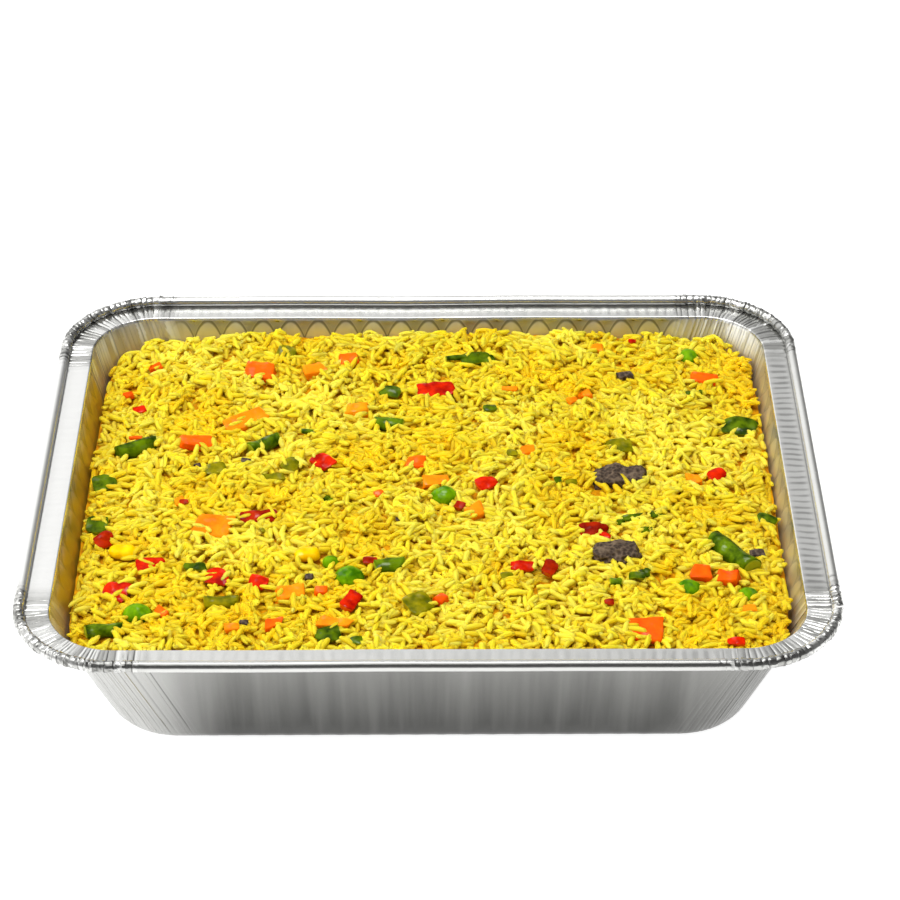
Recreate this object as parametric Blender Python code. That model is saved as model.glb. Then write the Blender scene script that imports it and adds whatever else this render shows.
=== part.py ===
# Foil catering tray filled with yellow rice and mixed vegetables.
# Units are metres, +Z is up. The origin is the middle of the tray's underside,
# X runs along the long side and the side nearest the viewer faces -Y.

import math
import random

import bmesh
import bpy
from mathutils import Euler, Vector
from mathutils.geometry import delaunay_2d_cdt

MM = 0.001

# The tray, at the size of a half-size catering tray
TRAY_LENGTH = 325 * MM
TRAY_WIDTH = 265 * MM
TRAY_HEIGHT = 66 * MM
RIM_CORNER_RADIUS = 41 * MM
FOIL = 0.5 * MM
BEAD_RADIUS = 2.3 * MM
BEAD_RISE = 3.8 * MM
BEAD_STEPS = 6
BEAD_END_ANGLE = 240
RIM_WIDTH = 14 * MM
RIM_LIP_RADIUS = 0.8 * MM
LIP_SETBACK = 0.2 * MM
BASE_INSET = 34 * MM
BASE_CORNER_RADIUS = 28 * MM
BASE_FILLET = 7 * MM
FILLET_STEPS = 3

# Flutes along the straight walls, pleats round the corners
FLUTE_PITCH = 12.2 * MM
FLUTE_DEPTH = 0.9 * MM
CORNER_PLEATS = 9
PLEAT_DEPTH = 1.0 * MM
RIM_PLEATS = 6
RIM_PLEAT_RISE = 0.7 * MM

# The rice. Depths are below the flat of the rim
RICE_DEPTH = 5.3 * MM
DEPTH_AT_LEFT = 7.0 * MM
DEPTH_AT_RIGHT = 2.5 * MM
DEPTH_AT_FRONT = 2.5 * MM
RISE_AT_BACK = 1.0 * MM
DEPTH_AT_CORNERS = 7.0 * MM
RICE_SWELL = 0.7 * MM
SWELL_LENGTH = 48 * MM
RICE_TO_FOIL = 0.4 * MM
GRAIN_END_REACH = 3.4 * MM
GRAIN_DIP_REACH = 2.7 * MM
GRAIN_SPACING = 6.7 * MM
GRAIN_RISE = 1.3 * MM
GRAIN_GAP_DROP = 1.2 * MM
GRAIN_TRIES = 30000
POINT_SPACING = 1.8 * MM
EDGE_SPACING = 9 * MM

# Pockets in the rice round the vegetables
POCKET_GAP = 0.45 * MM
POCKET_TAPER = 0.12 * MM
POCKET_FLOOR_GAP = 0.4 * MM
POCKET_BANK = 1.2 * MM
SHORTEST_EDGE = 0.3 * MM
WALL_CLEARANCE = 0.8 * MM

# How the photograph sees the tray, to turn a pixel into a place on the rice
FOCAL_PIXELS = 2970
PHOTO_CENTRE = (450, 450)
VIEW_ELEVATION = math.radians(35.0)
VIEW_DISTANCE = 1250 * MM
VIEW_TARGET = Vector((9 * MM, 12 * MM, 64.4 * MM))

ALUMINIUM = ((0.80, 0.80, 0.79), 0.28, 1.0)
RICE_YELLOW = ((0.93, 0.76, 0.10), 0.50, 0.0)
CARROT_ORANGE = ((0.95, 0.36, 0.02), 0.40, 0.0)
CARROT_PALE = ((0.95, 0.55, 0.05), 0.40, 0.0)
PEPPER_RED = ((0.72, 0.06, 0.03), 0.30, 0.0)
PEPPER_GREEN = ((0.07, 0.20, 0.03), 0.30, 0.0)
PEPPER_OLIVE = ((0.34, 0.34, 0.03), 0.35, 0.0)
PEPPER_YELLOW = ((0.98, 0.72, 0.02), 0.35, 0.0)
PEA_GREEN = ((0.18, 0.42, 0.04), 0.30, 0.0)
BEAN_GREEN = ((0.11, 0.30, 0.04), 0.30, 0.0)
CORN_YELLOW = ((0.98, 0.72, 0.03), 0.30, 0.0)
CHUNK_BROWN = ((0.16, 0.11, 0.08), 0.60, 0.0)


def vegetable(shape, finish, seen_at, size, turn=0, tilt=0, shows=2.2):
    """One piece: size is length, width and height in mm, turn and tilt are
    degrees, and shows is how far its top stands above the rice, in mm."""
    return {"shape": shape, "finish": finish, "seen_at": seen_at, "size": size,
            "turn": turn, "tilt": tilt, "shows": shows}


VEGETABLES = {
    "carrot_1": vegetable("dice", "carrot", (263, 372), (11.5, 9.0, 8), -12, 14, 2.6),
    "carrot_2": vegetable("dice", "carrot_pale", (317, 371), (9.0, 8.0, 7), 20, 10),
    "carrot_3": vegetable("dice", "carrot", (352, 361), (8.5, 6.0, 6), 8, 12),
    "carrot_4": vegetable("dice", "carrot_pale", (247, 421), (17, 8.0, 4.5), 30, 8, 1.9),
    "carrot_5": vegetable("dice", "carrot", (196, 443), (15, 6.0, 4.5), -4, 8, 1.9),
    "carrot_6": vegetable("dice", "carrot_pale", (214, 525), (14.5, 11, 6), -14, 10, 2.4),
    "carrot_7": vegetable("dice", "carrot", (418, 463), (8.5, 7.5, 7), -10, 12),
    "carrot_8": vegetable("dice", "carrot_pale", (435, 481), (12, 5.5, 4), 6, 6, 1.6),
    "carrot_9": vegetable("dice", "carrot", (475, 511), (8.0, 7.0, 6), 30, 8),
    "carrot_10": vegetable("dice", "carrot", (706, 380), (11, 7.0, 6), -8, 10, 2.0),
    "carrot_11": vegetable("dice", "carrot", (727, 578), (9.5, 8.0, 7), -10, 12, 2.4),
    "carrot_12": vegetable("dice", "carrot", (699, 573), (7.5, 6.5, 6), -8, 10, 2.0),
    "carrot_13": vegetable("dice", "carrot", (642, 630), (13, 10, 8), -6, 14, 2.6),
    "carrot_14": vegetable("dice", "carrot_pale", (290, 592), (12, 7.0, 5), 14, 8, 2.0),
    "carrot_15": vegetable("dice", "carrot_pale", (359, 410), (10.5, 7.0, 5), 12, 10),
    "red_pepper_1": vegetable("slab", "red", (437, 392), (17, 9.0, 4.0), 6, 10, 2.5),
    "red_pepper_2": vegetable("slab", "red", (323, 463), (10.5, 8.0, 4.0), -52, 12),
    "red_pepper_3": vegetable("slab", "red", (487, 486), (9.0, 7.0, 3.5), 28, 12),
    "red_pepper_4": vegetable("slab", "red", (259, 517), (16, 6.5, 3.5), 4, 14, 1.8),
    "red_pepper_5": vegetable("slab", "red", (106, 540), (9.0, 7.5, 3.5), 34, 16, 2.2),
    "red_pepper_6": vegetable("slab", "red", (151, 565), (12, 6.5, 3.5), 14, 12, 2.0),
    "red_pepper_7": vegetable("slab", "red", (216, 578), (9.5, 8.5, 4.0), -10, 12, 2.3),
    "red_pepper_8": vegetable("slab", "red", (116, 592), (11, 9.0, 4.0), -18, 14, 2.2),
    "red_pepper_9": vegetable("slab", "red", (258, 583), (8.5, 6.5, 3.5), -24, 10, 2.0),
    "red_pepper_10": vegetable("slab", "red", (351, 602), (11, 6.5, 4.0), 66, 12, 2.4),
    "red_pepper_11": vegetable("slab", "red", (522, 568), (10, 5.5, 3.5), -4, 10, 1.8),
    "red_pepper_12": vegetable("slab", "red", (549, 570), (9.0, 6.0, 3.5), 70, 12, 2.2),
    "red_pepper_13": vegetable("slab", "red", (593, 532), (12, 7.0, 3.5), 12, 12, 2.0),
    "red_pepper_14": vegetable("slab", "red", (717, 478), (8.5, 6.5, 3.5), 40, 10, 2.0),
    "pea_1": vegetable("pea", "pea", (349, 574), (12, 10.5, 9.5), -10, 0, 3.0),
    "pea_2": vegetable("pea", "pea", (331, 560), (7.0, 6.5, 6.5), 0, 0, 2.0),
    "pea_3": vegetable("pea", "pea", (137, 611), (12, 9.0, 8.5), -6, 0, 3.0),
    "pea_4": vegetable("pea", "pea", (444, 494), (11, 9.0, 8.5), 0, 0, 3.0),
    "pea_5": vegetable("pea", "pea", (688, 587), (9.5, 8.5, 8), 0, 0, 2.4),
    "pea_6": vegetable("pea", "pea", (747, 594), (8.5, 7.5, 7), 0, 0, 2.0),
    "pea_7": vegetable("pea", "pea", (688, 356), (9.5, 9.0, 8), 0, 0, 2.0),
    "bean_1": vegetable("bean", "bean", (139, 447), (17, 7.5, 7), 30, 4, 3.0),
    "bean_2": vegetable("bean", "bean", (265, 443), (14, 6.0, 5.5), 34, 6, 2.4),
    "bean_3": vegetable("bean", "bean", (389, 564), (12, 7.5, 6), 8, 0, 2.2),
    "bean_4": vegetable("bean", "bean", (390, 423), (12, 6.5, 5.5), -8, 4, 2.0),
    "bean_5": vegetable("bean", "bean", (732, 553), (24, 8.5, 8), -54, 3, 3.4),
    "bean_6": vegetable("bean", "bean", (104, 628), (14, 6.0, 5.5), 6, 4, 2.4),
    "bean_7": vegetable("bean", "olive", (221, 599), (13, 6.0, 5), 4, 0, 1.4),
    "green_pepper_1": vegetable("slab", "olive", (287, 355), (9.0, 8.0, 4.0), -14, 16, 2.2),
    "green_pepper_2": vegetable("slab", "green", (480, 362), (15, 6.5, 4.0), 8, 14, 2.4),
    "green_pepper_3": vegetable("slab", "green", (389, 394), (11, 6.0, 3.5), -8, 14, 2.0),
    "green_pepper_4": vegetable("slab", "olive", (418, 606), (11, 11, 4.5), 34, 14, 3.0),
    "green_pepper_5": vegetable("slab", "green", (755, 431), (15, 10, 4.5), -18, 16, 2.6),
    "green_pepper_6": vegetable("slab", "green", (94, 487), (10, 9.0, 4.0), 12, 10, 2.2),
    "green_pepper_7": vegetable("slab", "green", (92, 526), (9.0, 9.0, 4.0), 0, 10, 2.0),
    "green_pepper_8": vegetable("slab", "olive", (292, 466), (9.5, 7.0, 4.0), 62, 12, 2.0),
    "green_pepper_9": vegetable("slab", "olive", (216, 470), (9.5, 7.0, 3.5), 10, 10, 1.8),
    "green_pepper_10": vegetable("slab", "olive", (619, 448), (12, 8.0, 4.0), 8, 10, 2.0),
    "green_pepper_11": vegetable("slab", "green", (328, 635), (10, 8.0, 4.0), 10, 10, 2.0),
    "corn_1": vegetable("corn", "corn", (123, 552), (11, 8.5, 6), -10, 8, 2.8),
    "corn_2": vegetable("corn", "corn", (307, 554), (10, 8.0, 6), 12, 6, 2.4),
    "brown_chunk_1": vegetable("chunk", "brown", (621, 477), (24, 13, 8), 4, 4, 3.4),
    "brown_chunk_2": vegetable("chunk", "brown", (616, 552), (19, 12, 7), 6, 6, 3.0),
}

FINISHES = {
    "carrot": CARROT_ORANGE,
    "carrot_pale": CARROT_PALE,
    "red": PEPPER_RED,
    "green": PEPPER_GREEN,
    "olive": PEPPER_OLIVE,
    "pea": PEA_GREEN,
    "bean": BEAN_GREEN,
    "corn": CORN_YELLOW,
    "brown": CHUNK_BROWN,
}

PEA_SEGMENTS = 8
PEA_RINGS = 6
BEAN_SIDES = 8
BEAN_BEND = 0.10
DICE_BEVEL = 0.7 * MM
SLAB_BEND = 0.16
CHUNK_ROUGHNESS = 0.16


def clear_scene():
    for obj in list(bpy.data.objects):
        bpy.data.objects.remove(obj, do_unlink=True)


def material(name, finish):
    colour, roughness, metallic = finish
    made = bpy.data.materials.new(name)
    made.use_nodes = True
    shader = made.node_tree.nodes["Principled BSDF"]
    shader.inputs["Base Color"].default_value = (*colour, 1)
    shader.inputs["Roughness"].default_value = roughness
    shader.inputs["Metallic"].default_value = metallic
    return made


def object_from(name, bm, finish_material, smooth_angle=35):
    mesh = bpy.data.meshes.new(name)
    bm.to_mesh(mesh)
    bm.free()
    mesh.shade_smooth()
    mesh.set_sharp_from_angle(angle=math.radians(smooth_angle))
    mesh.materials.append(finish_material)
    obj = bpy.data.objects.new(name, mesh)
    bpy.context.scene.collection.objects.link(obj)
    return obj


# Outlines: a rounded rectangle as stations, each with its share of the way
# round, its point, its outward direction and whether it lies on a corner


def outline(inset, radius, long_steps=1, short_steps=1, corner_steps=2 * RIM_PLEATS):
    half_x = TRAY_LENGTH / 2 - inset
    half_y = TRAY_WIDTH / 2 - inset
    stations = []
    corners = ((1, -1, -90), (1, 1, 0), (-1, 1, 90), (-1, -1, 180))
    for side, (sign_x, sign_y, start) in enumerate(corners):
        centre = Vector((sign_x * (half_x - radius), sign_y * (half_y - radius)))
        for step in range(corner_steps + 1):
            angle = math.radians(start + 90 * step / corner_steps)
            normal = Vector((math.cos(angle), math.sin(angle)))
            share = (2 * side + step / corner_steps) / 8
            stations.append((share, centre + radius * normal, normal, step, True))
        next_x, next_y, next_start = corners[(side + 1) % 4]
        next_centre = Vector((next_x * (half_x - radius), next_y * (half_y - radius)))
        normal = Vector((math.cos(math.radians(next_start)), math.sin(math.radians(next_start))))
        first = centre + radius * normal
        last = next_centre + radius * normal
        steps = short_steps if side % 2 == 0 else long_steps
        for step in range(1, steps):
            share = (2 * side + 1 + step / steps) / 8
            stations.append((share, first.lerp(last, step / steps), normal, step, False))
    return stations


def rim_profile():
    """The middle of the foil from the edge of the floor to the end of the
    rolled bead, as (inset, height, corner radius, kind)."""
    half = FOIL / 2
    rim_z = TRAY_HEIGHT - BEAD_RISE - half
    slope = math.atan2(BASE_INSET - RIM_WIDTH, rim_z)
    turn = math.pi / 2 - slope
    reach = BASE_FILLET * math.tan(turn / 2)
    floor_inset = BASE_INSET + reach
    points = []
    for step in range(FILLET_STEPS + 1):
        angle = turn * step / FILLET_STEPS
        inset = floor_inset - BASE_FILLET * math.sin(angle)
        height = half + BASE_FILLET * (1 - math.cos(angle))
        kind = "flutes" if step == FILLET_STEPS else "plain"
        points.append((inset, height, BASE_CORNER_RADIUS, kind))
    lip_z = rim_z - 3 * RIM_LIP_RADIUS
    lip_inset = RIM_WIDTH + (rim_z - lip_z) * math.tan(slope)
    corner = RIM_CORNER_RADIUS - RIM_WIDTH
    points.append((lip_inset, lip_z, corner, "flutes"))
    points.append((RIM_WIDTH + LIP_SETBACK, rim_z - RIM_LIP_RADIUS, corner, "rim"))
    points.append((RIM_WIDTH - RIM_LIP_RADIUS, rim_z, corner + RIM_LIP_RADIUS, "rim"))
    roll = BEAD_RADIUS - half
    centre_z = TRAY_HEIGHT - BEAD_RADIUS
    start = math.degrees(math.asin((rim_z - centre_z) / roll))
    for step in range(BEAD_STEPS + 1):
        angle = math.radians(start + (BEAD_END_ANGLE - start) * step / BEAD_STEPS)
        inset = BEAD_RADIUS + roll * math.cos(angle)
        height = centre_z + roll * math.sin(angle)
        points.append((inset, height, RIM_CORNER_RADIUS - inset, "rim" if step == 0 else "bead"))
    return points


def skin(profile, offset):
    """The profile moved sideways by offset, towards the inside of the tray."""
    moved = []
    for index, (inset, height, radius, kind) in enumerate(profile):
        before = profile[max(index - 1, 0)]
        after = profile[min(index + 1, len(profile) - 1)]
        along_in = Vector((before[0] - inset, before[1] - height))
        along_out = Vector((inset - after[0], height - after[1]))
        if index == 0:
            along_in = Vector((1, 0))
        if index == len(profile) - 1:
            along_out = along_in
        normal_in = Vector((-along_in.y, along_in.x)).normalized()
        normal_out = Vector((-along_out.y, along_out.x)).normalized()
        normal = (normal_in + normal_out).normalized()
        reach = offset / max(normal.dot(normal_out), 0.5)
        moved.append((inset + normal.x * reach, height + normal.y * reach,
                      radius - normal.x * reach, kind))
    return moved


def flute_steps():
    long_side = TRAY_LENGTH - 2 * (RIM_WIDTH + BASE_CORNER_RADIUS)
    short_side = TRAY_WIDTH - 2 * (RIM_WIDTH + BASE_CORNER_RADIUS)
    return 2 * round(long_side / FLUTE_PITCH), 2 * round(short_side / FLUTE_PITCH)


def ring_of(bm, inset, height, radius, kind):
    """One ring of vertices with its shares, waved where the foil is."""
    if kind == "flutes":
        long_steps, short_steps = flute_steps()
        stations = outline(inset, radius, long_steps, short_steps, 2 * CORNER_PLEATS)
    else:
        stations = outline(inset, radius)
    ring = []
    for share, point, normal, step, on_corner in stations:
        way = 1 if step % 2 else -1
        out, rise = 0, 0
        if kind == "flutes":
            out = way * (PLEAT_DEPTH if on_corner else FLUTE_DEPTH) / 2
            if step == 0:
                out = 0
        if kind in ("rim", "bead") and on_corner:
            rise = way * RIM_PLEAT_RISE / 2
        place = point + normal * out
        ring.append((share, bm.verts.new((place.x, place.y, height + rise))))
    return ring


def stitch(bm, lower, upper):
    """Triangles between two rings that may have different counts."""
    i = j = 0
    while i < len(lower) or j < len(upper):
        low = lower[i % len(lower)][1]
        high = upper[j % len(upper)][1]
        next_low = lower[i + 1][0] if i + 1 < len(lower) else lower[(i + 1) % len(lower)][0] + 1
        next_high = upper[j + 1][0] if j + 1 < len(upper) else upper[(j + 1) % len(upper)][0] + 1
        if j >= len(upper) or (i < len(lower) and next_low <= next_high):
            bm.faces.new((low, lower[(i + 1) % len(lower)][1], high))
            i += 1
        else:
            bm.faces.new((low, upper[(j + 1) % len(upper)][1], high))
            j += 1


def build_tray():
    bm = bmesh.new()
    profile = rim_profile()
    outer = [ring_of(bm, *entry) for entry in skin(profile, -FOIL / 2)]
    inner = [ring_of(bm, *entry) for entry in skin(profile, FOIL / 2)]
    for lower, upper in zip(outer, outer[1:]):
        stitch(bm, lower, upper)
    stitch(bm, outer[-1], inner[-1])
    inner.reverse()
    for upper, lower in zip(inner, inner[1:]):
        stitch(bm, upper, lower)
    bm.faces.new([vertex for _, vertex in reversed(outer[0])])
    bm.faces.new([vertex for _, vertex in inner[-1]])
    bmesh.ops.recalc_face_normals(bm, faces=bm.faces)
    return object_from("tray", bm, material("foil", ALUMINIUM), 20)


# The rice's surface, before its grains


def rice_level(x, y):
    """Height of the rice's surface, without the bumps of its grains."""
    across = max(-1, min(1, x / (TRAY_LENGTH / 2 - RIM_WIDTH)))
    along = max(-1, min(1, y / (TRAY_WIDTH / 2 - RIM_WIDTH)))
    depth = RICE_DEPTH
    depth += (DEPTH_AT_LEFT if across < 0 else DEPTH_AT_RIGHT) * across ** 6
    depth += (DEPTH_AT_FRONT if along < 0 else -RISE_AT_BACK) * along ** 4
    depth += DEPTH_AT_CORNERS * across ** 6 * along ** 6
    swell = math.sin(x / SWELL_LENGTH * 2.1 + 0.6) * math.cos(y / SWELL_LENGTH * 2.6 - 0.4)
    return TRAY_HEIGHT - BEAD_RISE - depth + RICE_SWELL * swell


def place_on_rice(pixel):
    """Where the sight line through a pixel of the photograph meets the rice."""
    back = Vector((0, -math.cos(VIEW_ELEVATION), math.sin(VIEW_ELEVATION)))
    eye = VIEW_TARGET + VIEW_DISTANCE * back
    up = Vector((0, math.sin(VIEW_ELEVATION), math.cos(VIEW_ELEVATION)))
    right = Vector((1, 0, 0))
    sight = -back * FOCAL_PIXELS
    sight += right * (pixel[0] - PHOTO_CENTRE[0]) - up * (pixel[1] - PHOTO_CENTRE[1])
    level = TRAY_HEIGHT - BEAD_RISE - RICE_DEPTH
    spot = eye
    for _ in range(4):
        spot = eye + sight * ((level - eye.z) / sight.z)
        level = rice_level(spot.x, spot.y)
    return spot


# Shapes of the vegetables, each round its own middle


def pea_shape(bm, length, width, height, rng):
    bmesh.ops.create_uvsphere(bm, u_segments=PEA_SEGMENTS, v_segments=PEA_RINGS, radius=0.5)
    for vertex in bm.verts:
        swell = 1 + 0.05 * rng.uniform(-1, 1)
        vertex.co = Vector((vertex.co.x * length * swell, vertex.co.y * width * swell,
                            vertex.co.z * height))


def dice_shape(bm, length, width, height, rng):
    bmesh.ops.create_cube(bm, size=1)
    for vertex in bm.verts:
        lean = Vector((rng.uniform(-0.09, 0.09), rng.uniform(-0.09, 0.09), rng.uniform(-0.05, 0.05)))
        spot = vertex.co + lean
        vertex.co = Vector((spot.x * length, spot.y * width, spot.z * height))
    bmesh.ops.bevel(bm, geom=bm.edges[:], offset=DICE_BEVEL, segments=1, affect="EDGES")


def slab_shape(bm, length, width, height, rng):
    """A piece of pepper flesh: a bent slab with the skin on its outer side."""
    bmesh.ops.create_cube(bm, size=1)
    lengthwise = [e for e in bm.edges if abs((e.verts[0].co - e.verts[1].co).x) > 0.5]
    bmesh.ops.subdivide_edges(bm, edges=lengthwise, cuts=2, use_grid_fill=True)
    corner_pull = {(sx, sy): rng.uniform(-0.1, 0.1) for sx in (-1, 1) for sy in (-1, 1)}
    for vertex in bm.verts:
        x, y, z = vertex.co
        pull = corner_pull[(1 if x > 0 else -1, 1 if y > 0 else -1)]
        narrow = 1 - 0.10 * (z + 0.5)
        bend = SLAB_BEND * length * (0.25 - x * x)
        vertex.co = Vector((x * length * narrow * (1 + pull), y * width * narrow * (1 - pull),
                            z * height + bend))
    bmesh.ops.triangulate(bm, faces=bm.faces)


def bean_shape(bm, length, width, height, rng):
    """A cut length of green bean: rounded, slightly bent, with slanting ends."""
    bmesh.ops.create_cone(bm, cap_ends=True, segments=BEAN_SIDES, radius1=0.5, radius2=0.5, depth=1)
    upright = [e for e in bm.edges if abs((e.verts[0].co - e.verts[1].co).z) > 0.5]
    bmesh.ops.subdivide_edges(bm, edges=upright, cuts=2, use_grid_fill=True)
    slant = rng.uniform(0.25, 0.55)
    for vertex in bm.verts:
        across, up, along = vertex.co
        x = along * length + slant * across * width * (1 if along > 0 else -1) * abs(along)
        bend = BEAN_BEND * length * (0.25 - along * along)
        vertex.co = Vector((x, across * width + bend, up * height))


def corn_shape(bm, length, width, height, rng):
    """A sweetcorn kernel: a domed crown that narrows to its foot."""
    bmesh.ops.create_uvsphere(bm, u_segments=PEA_SEGMENTS, v_segments=PEA_RINGS, radius=0.5)
    for vertex in bm.verts:
        x, y, z = vertex.co
        narrow = 1 - 0.5 * (0.5 - x) * abs(y)
        square = 1 + 0.35 * (abs(x * y) * 4)
        vertex.co = Vector((x * length * square, y * width * square * narrow, z * height))


def chunk_shape(bm, length, width, height, rng):
    bmesh.ops.create_icosphere(bm, subdivisions=2, radius=0.5)
    for vertex in bm.verts:
        direction = vertex.co.normalized()
        square = 1 / max(abs(direction.x), abs(direction.y), abs(direction.z)) ** 0.45
        rough = 1 + CHUNK_ROUGHNESS * rng.uniform(-1, 0.6)
        spot = direction * 0.5 * min(square, 1.25) * rough
        vertex.co = Vector((spot.x * length, spot.y * width, spot.z * height))


SHAPES = {"pea": pea_shape, "dice": dice_shape, "slab": slab_shape,
          "bean": bean_shape, "corn": corn_shape, "chunk": chunk_shape}


def inside_walls(place, half_x, half_y, depth):
    """Keeps a piece clear of the sloping foil, down to its own depth."""
    (foot_inset, foot_z, _), (head_inset, head_z, _) = wall_line(rim_profile())
    rise = (rice_level(place.x, place.y) - depth - foot_z) / (head_z - foot_z)
    inset = foot_inset + (head_inset - foot_inset) * rise + POCKET_GAP + WALL_CLEARANCE
    limit_x = TRAY_LENGTH / 2 - inset - half_x
    limit_y = TRAY_WIDTH / 2 - inset - half_y
    return Vector((max(-limit_x, min(limit_x, place.x)), max(-limit_y, min(limit_y, place.y))))


def convex_outline(points):
    """The convex loop round flat points, anticlockwise."""
    ordered = sorted({(round(x, 6), round(y, 6)) for x, y in points})
    halves = []
    for sequence in (ordered, ordered[::-1]):
        half = []
        for x, y in sequence:
            spot = Vector((x, y))
            while len(half) > 1 and (half[-1] - half[-2]).cross(spot - half[-1]) <= 0:
                half.pop()
            half.append(spot)
        halves.append(half[:-1])
    return halves[0] + halves[1]


def build_vegetable(name, piece, materials):
    rng = random.Random(name)
    length, width, height = (side * MM for side in piece["size"])
    bm = bmesh.new()
    SHAPES[piece["shape"]](bm, length, width, height, rng)
    turned = Euler((math.radians(piece["tilt"]), 0, math.radians(piece["turn"]))).to_matrix()
    for vertex in bm.verts:
        vertex.co = turned @ vertex.co
    half_x = max(abs(v.co.x) for v in bm.verts)
    half_y = max(abs(v.co.y) for v in bm.verts)
    top = max(v.co.z for v in bm.verts)
    depth = 2 * top - piece["shows"] * MM + POCKET_FLOOR_GAP
    place = inside_walls(place_on_rice(piece["seen_at"]), half_x, half_y, depth)
    middle = rice_level(place.x, place.y) + piece["shows"] * MM - top
    footprint = convex_outline([(v.co.x + place.x, v.co.y + place.y) for v in bm.verts])
    bottom = middle + min(v.co.z for v in bm.verts)
    bmesh.ops.recalc_face_normals(bm, faces=bm.faces)
    obj = object_from(name, bm, materials[piece["finish"]])
    obj.location = (place.x, place.y, middle)
    return footprint, bottom


# The rice, with a pocket round each vegetable


def signed_area(loop):
    return sum(a.x * b.y - b.x * a.y for a, b in zip(loop, loop[1:] + loop[:1])) / 2


def grown(loop, gap):
    """A convex loop moved outwards by gap, turning anticlockwise."""
    points = loop if signed_area(loop) > 0 else loop[::-1]
    tidy = [p for p, q in zip(points, points[1:] + points[:1]) if (p - q).length > SHORTEST_EDGE]
    made = []
    for index, point in enumerate(tidy):
        before, after = tidy[index - 1], tidy[(index + 1) % len(tidy)]
        edge_in, edge_out = (point - before).normalized(), (after - point).normalized()
        normal_in, normal_out = Vector((edge_in.y, -edge_in.x)), Vector((edge_out.y, -edge_out.x))
        normal = (normal_in + normal_out).normalized()
        made.append(point + normal * gap / max(normal.dot(normal_out), 0.5))
    return made


def distance_outside(point, loop):
    """How far a point lies outside a convex loop, negative inside it."""
    furthest = -1.0
    nearest = 1.0
    for a, b in zip(loop, loop[1:] + loop[:1]):
        edge = (b - a).normalized()
        furthest = max(furthest, (point - a).dot(Vector((edge.y, -edge.x))))
        share = max(0, min(1, (point - a).dot(edge) / (b - a).length))
        nearest = min(nearest, (point - a.lerp(b, share)).length)
    return nearest if furthest > 0 else furthest


def inside_outline(point, loop):
    """Whether a point lies inside a loop of any shape."""
    inside = False
    for a, b in zip(loop, loop[1:] + loop[:1]):
        if (a.y > point.y) != (b.y > point.y):
            if point.x < a.x + (b.x - a.x) * (point.y - a.y) / (b.y - a.y):
                inside = not inside
    return inside


def wall_line(profile):
    """The tray's inner wall as seen by the rice: foot and head of the slope."""
    inner = skin(profile, FOIL / 2)
    foot, head = inner[FILLET_STEPS], inner[FILLET_STEPS + 1]
    clearance = RICE_TO_FOIL + max(FLUTE_DEPTH, PLEAT_DEPTH) / 2
    return [(inset + clearance, height, radius - clearance * 0.5)
            for inset, height, radius, _ in (foot, head)]


def rice_edge(profile):
    """Stations where the rice's surface meets the wall, with their heights."""
    (foot_inset, foot_z, foot_r), (head_inset, head_z, head_r) = wall_line(profile)
    long_steps = round((TRAY_LENGTH - 2 * RIM_CORNER_RADIUS) / EDGE_SPACING)
    short_steps = round((TRAY_WIDTH - 2 * RIM_CORNER_RADIUS) / EDGE_SPACING)
    foot = outline(foot_inset, foot_r, long_steps, short_steps, 8)
    head = outline(head_inset, head_r, long_steps, short_steps, 8)
    edge = []
    for (share, low, _, _, _), (_, high, _, _, _) in zip(foot, head):
        rise = 1.0
        for _ in range(4):
            spot = low.lerp(high, rise)
            rise = (rice_level(spot.x, spot.y) - foot_z) / (head_z - foot_z)
        spot = low.lerp(high, rise)
        edge.append((share, spot, foot_z + (head_z - foot_z) * rise))
    return edge


class Scatter:
    """Flat points kept in square cells, to find quickly whether a spot is free."""

    def __init__(self, gap):
        self.gap = gap
        self.cells = {}

    def cell(self, point):
        return int(point.x // self.gap), int(point.y // self.gap)

    def free(self, point):
        column, row = self.cell(point)
        near = [(column + i, row + j) for i in (-1, 0, 1) for j in (-1, 0, 1)]
        others = (other for key in near for other in self.cells.get(key, ()))
        return all((other - point).length >= self.gap for other in others)

    def add(self, point):
        self.cells.setdefault(self.cell(point), []).append(point)


def clear_of_pockets(point, pockets):
    for loop, middle, reach in pockets:
        if (point - middle).length < reach and distance_outside(point, loop) < POCKET_BANK:
            return False
    return True


def grain_points(boundary, pockets, rng):
    """Bumps of a grain's size: two raised ends and a dip beside each grain."""
    around = []
    for loop in pockets:
        middle = sum(loop, Vector((0, 0))) / len(loop)
        reach = max((p - middle).length for p in loop) + POCKET_BANK
        around.append((loop, middle, reach))
    grains = Scatter(GRAIN_SPACING)
    bumps = Scatter(POINT_SPACING)
    chosen = []

    def fits(point):
        if not bumps.free(point) or distance_outside(point, boundary) > -POINT_SPACING:
            return False
        return clear_of_pockets(point, around)

    def keep(point, raised):
        bumps.add(point)
        chosen.append((point, rice_level(point.x, point.y) + raised))

    for _ in range(GRAIN_TRIES):
        middle = Vector((rng.uniform(-0.5, 0.5) * TRAY_LENGTH, rng.uniform(-0.5, 0.5) * TRAY_WIDTH))
        angle = rng.uniform(0, math.pi)
        half = Vector((math.cos(angle), math.sin(angle))) * GRAIN_END_REACH
        if not grains.free(middle) or not all(fits(end) for end in (middle + half, middle - half)):
            continue
        grains.add(middle)
        for end in (middle + half, middle - half):
            keep(end, GRAIN_RISE * rng.uniform(0.5, 1))
        dip = middle + Vector((-math.sin(angle), math.cos(angle))) * GRAIN_DIP_REACH
        if fits(dip):
            keep(dip, -GRAIN_GAP_DROP * rng.uniform(0.6, 1))
    return chosen


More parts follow.
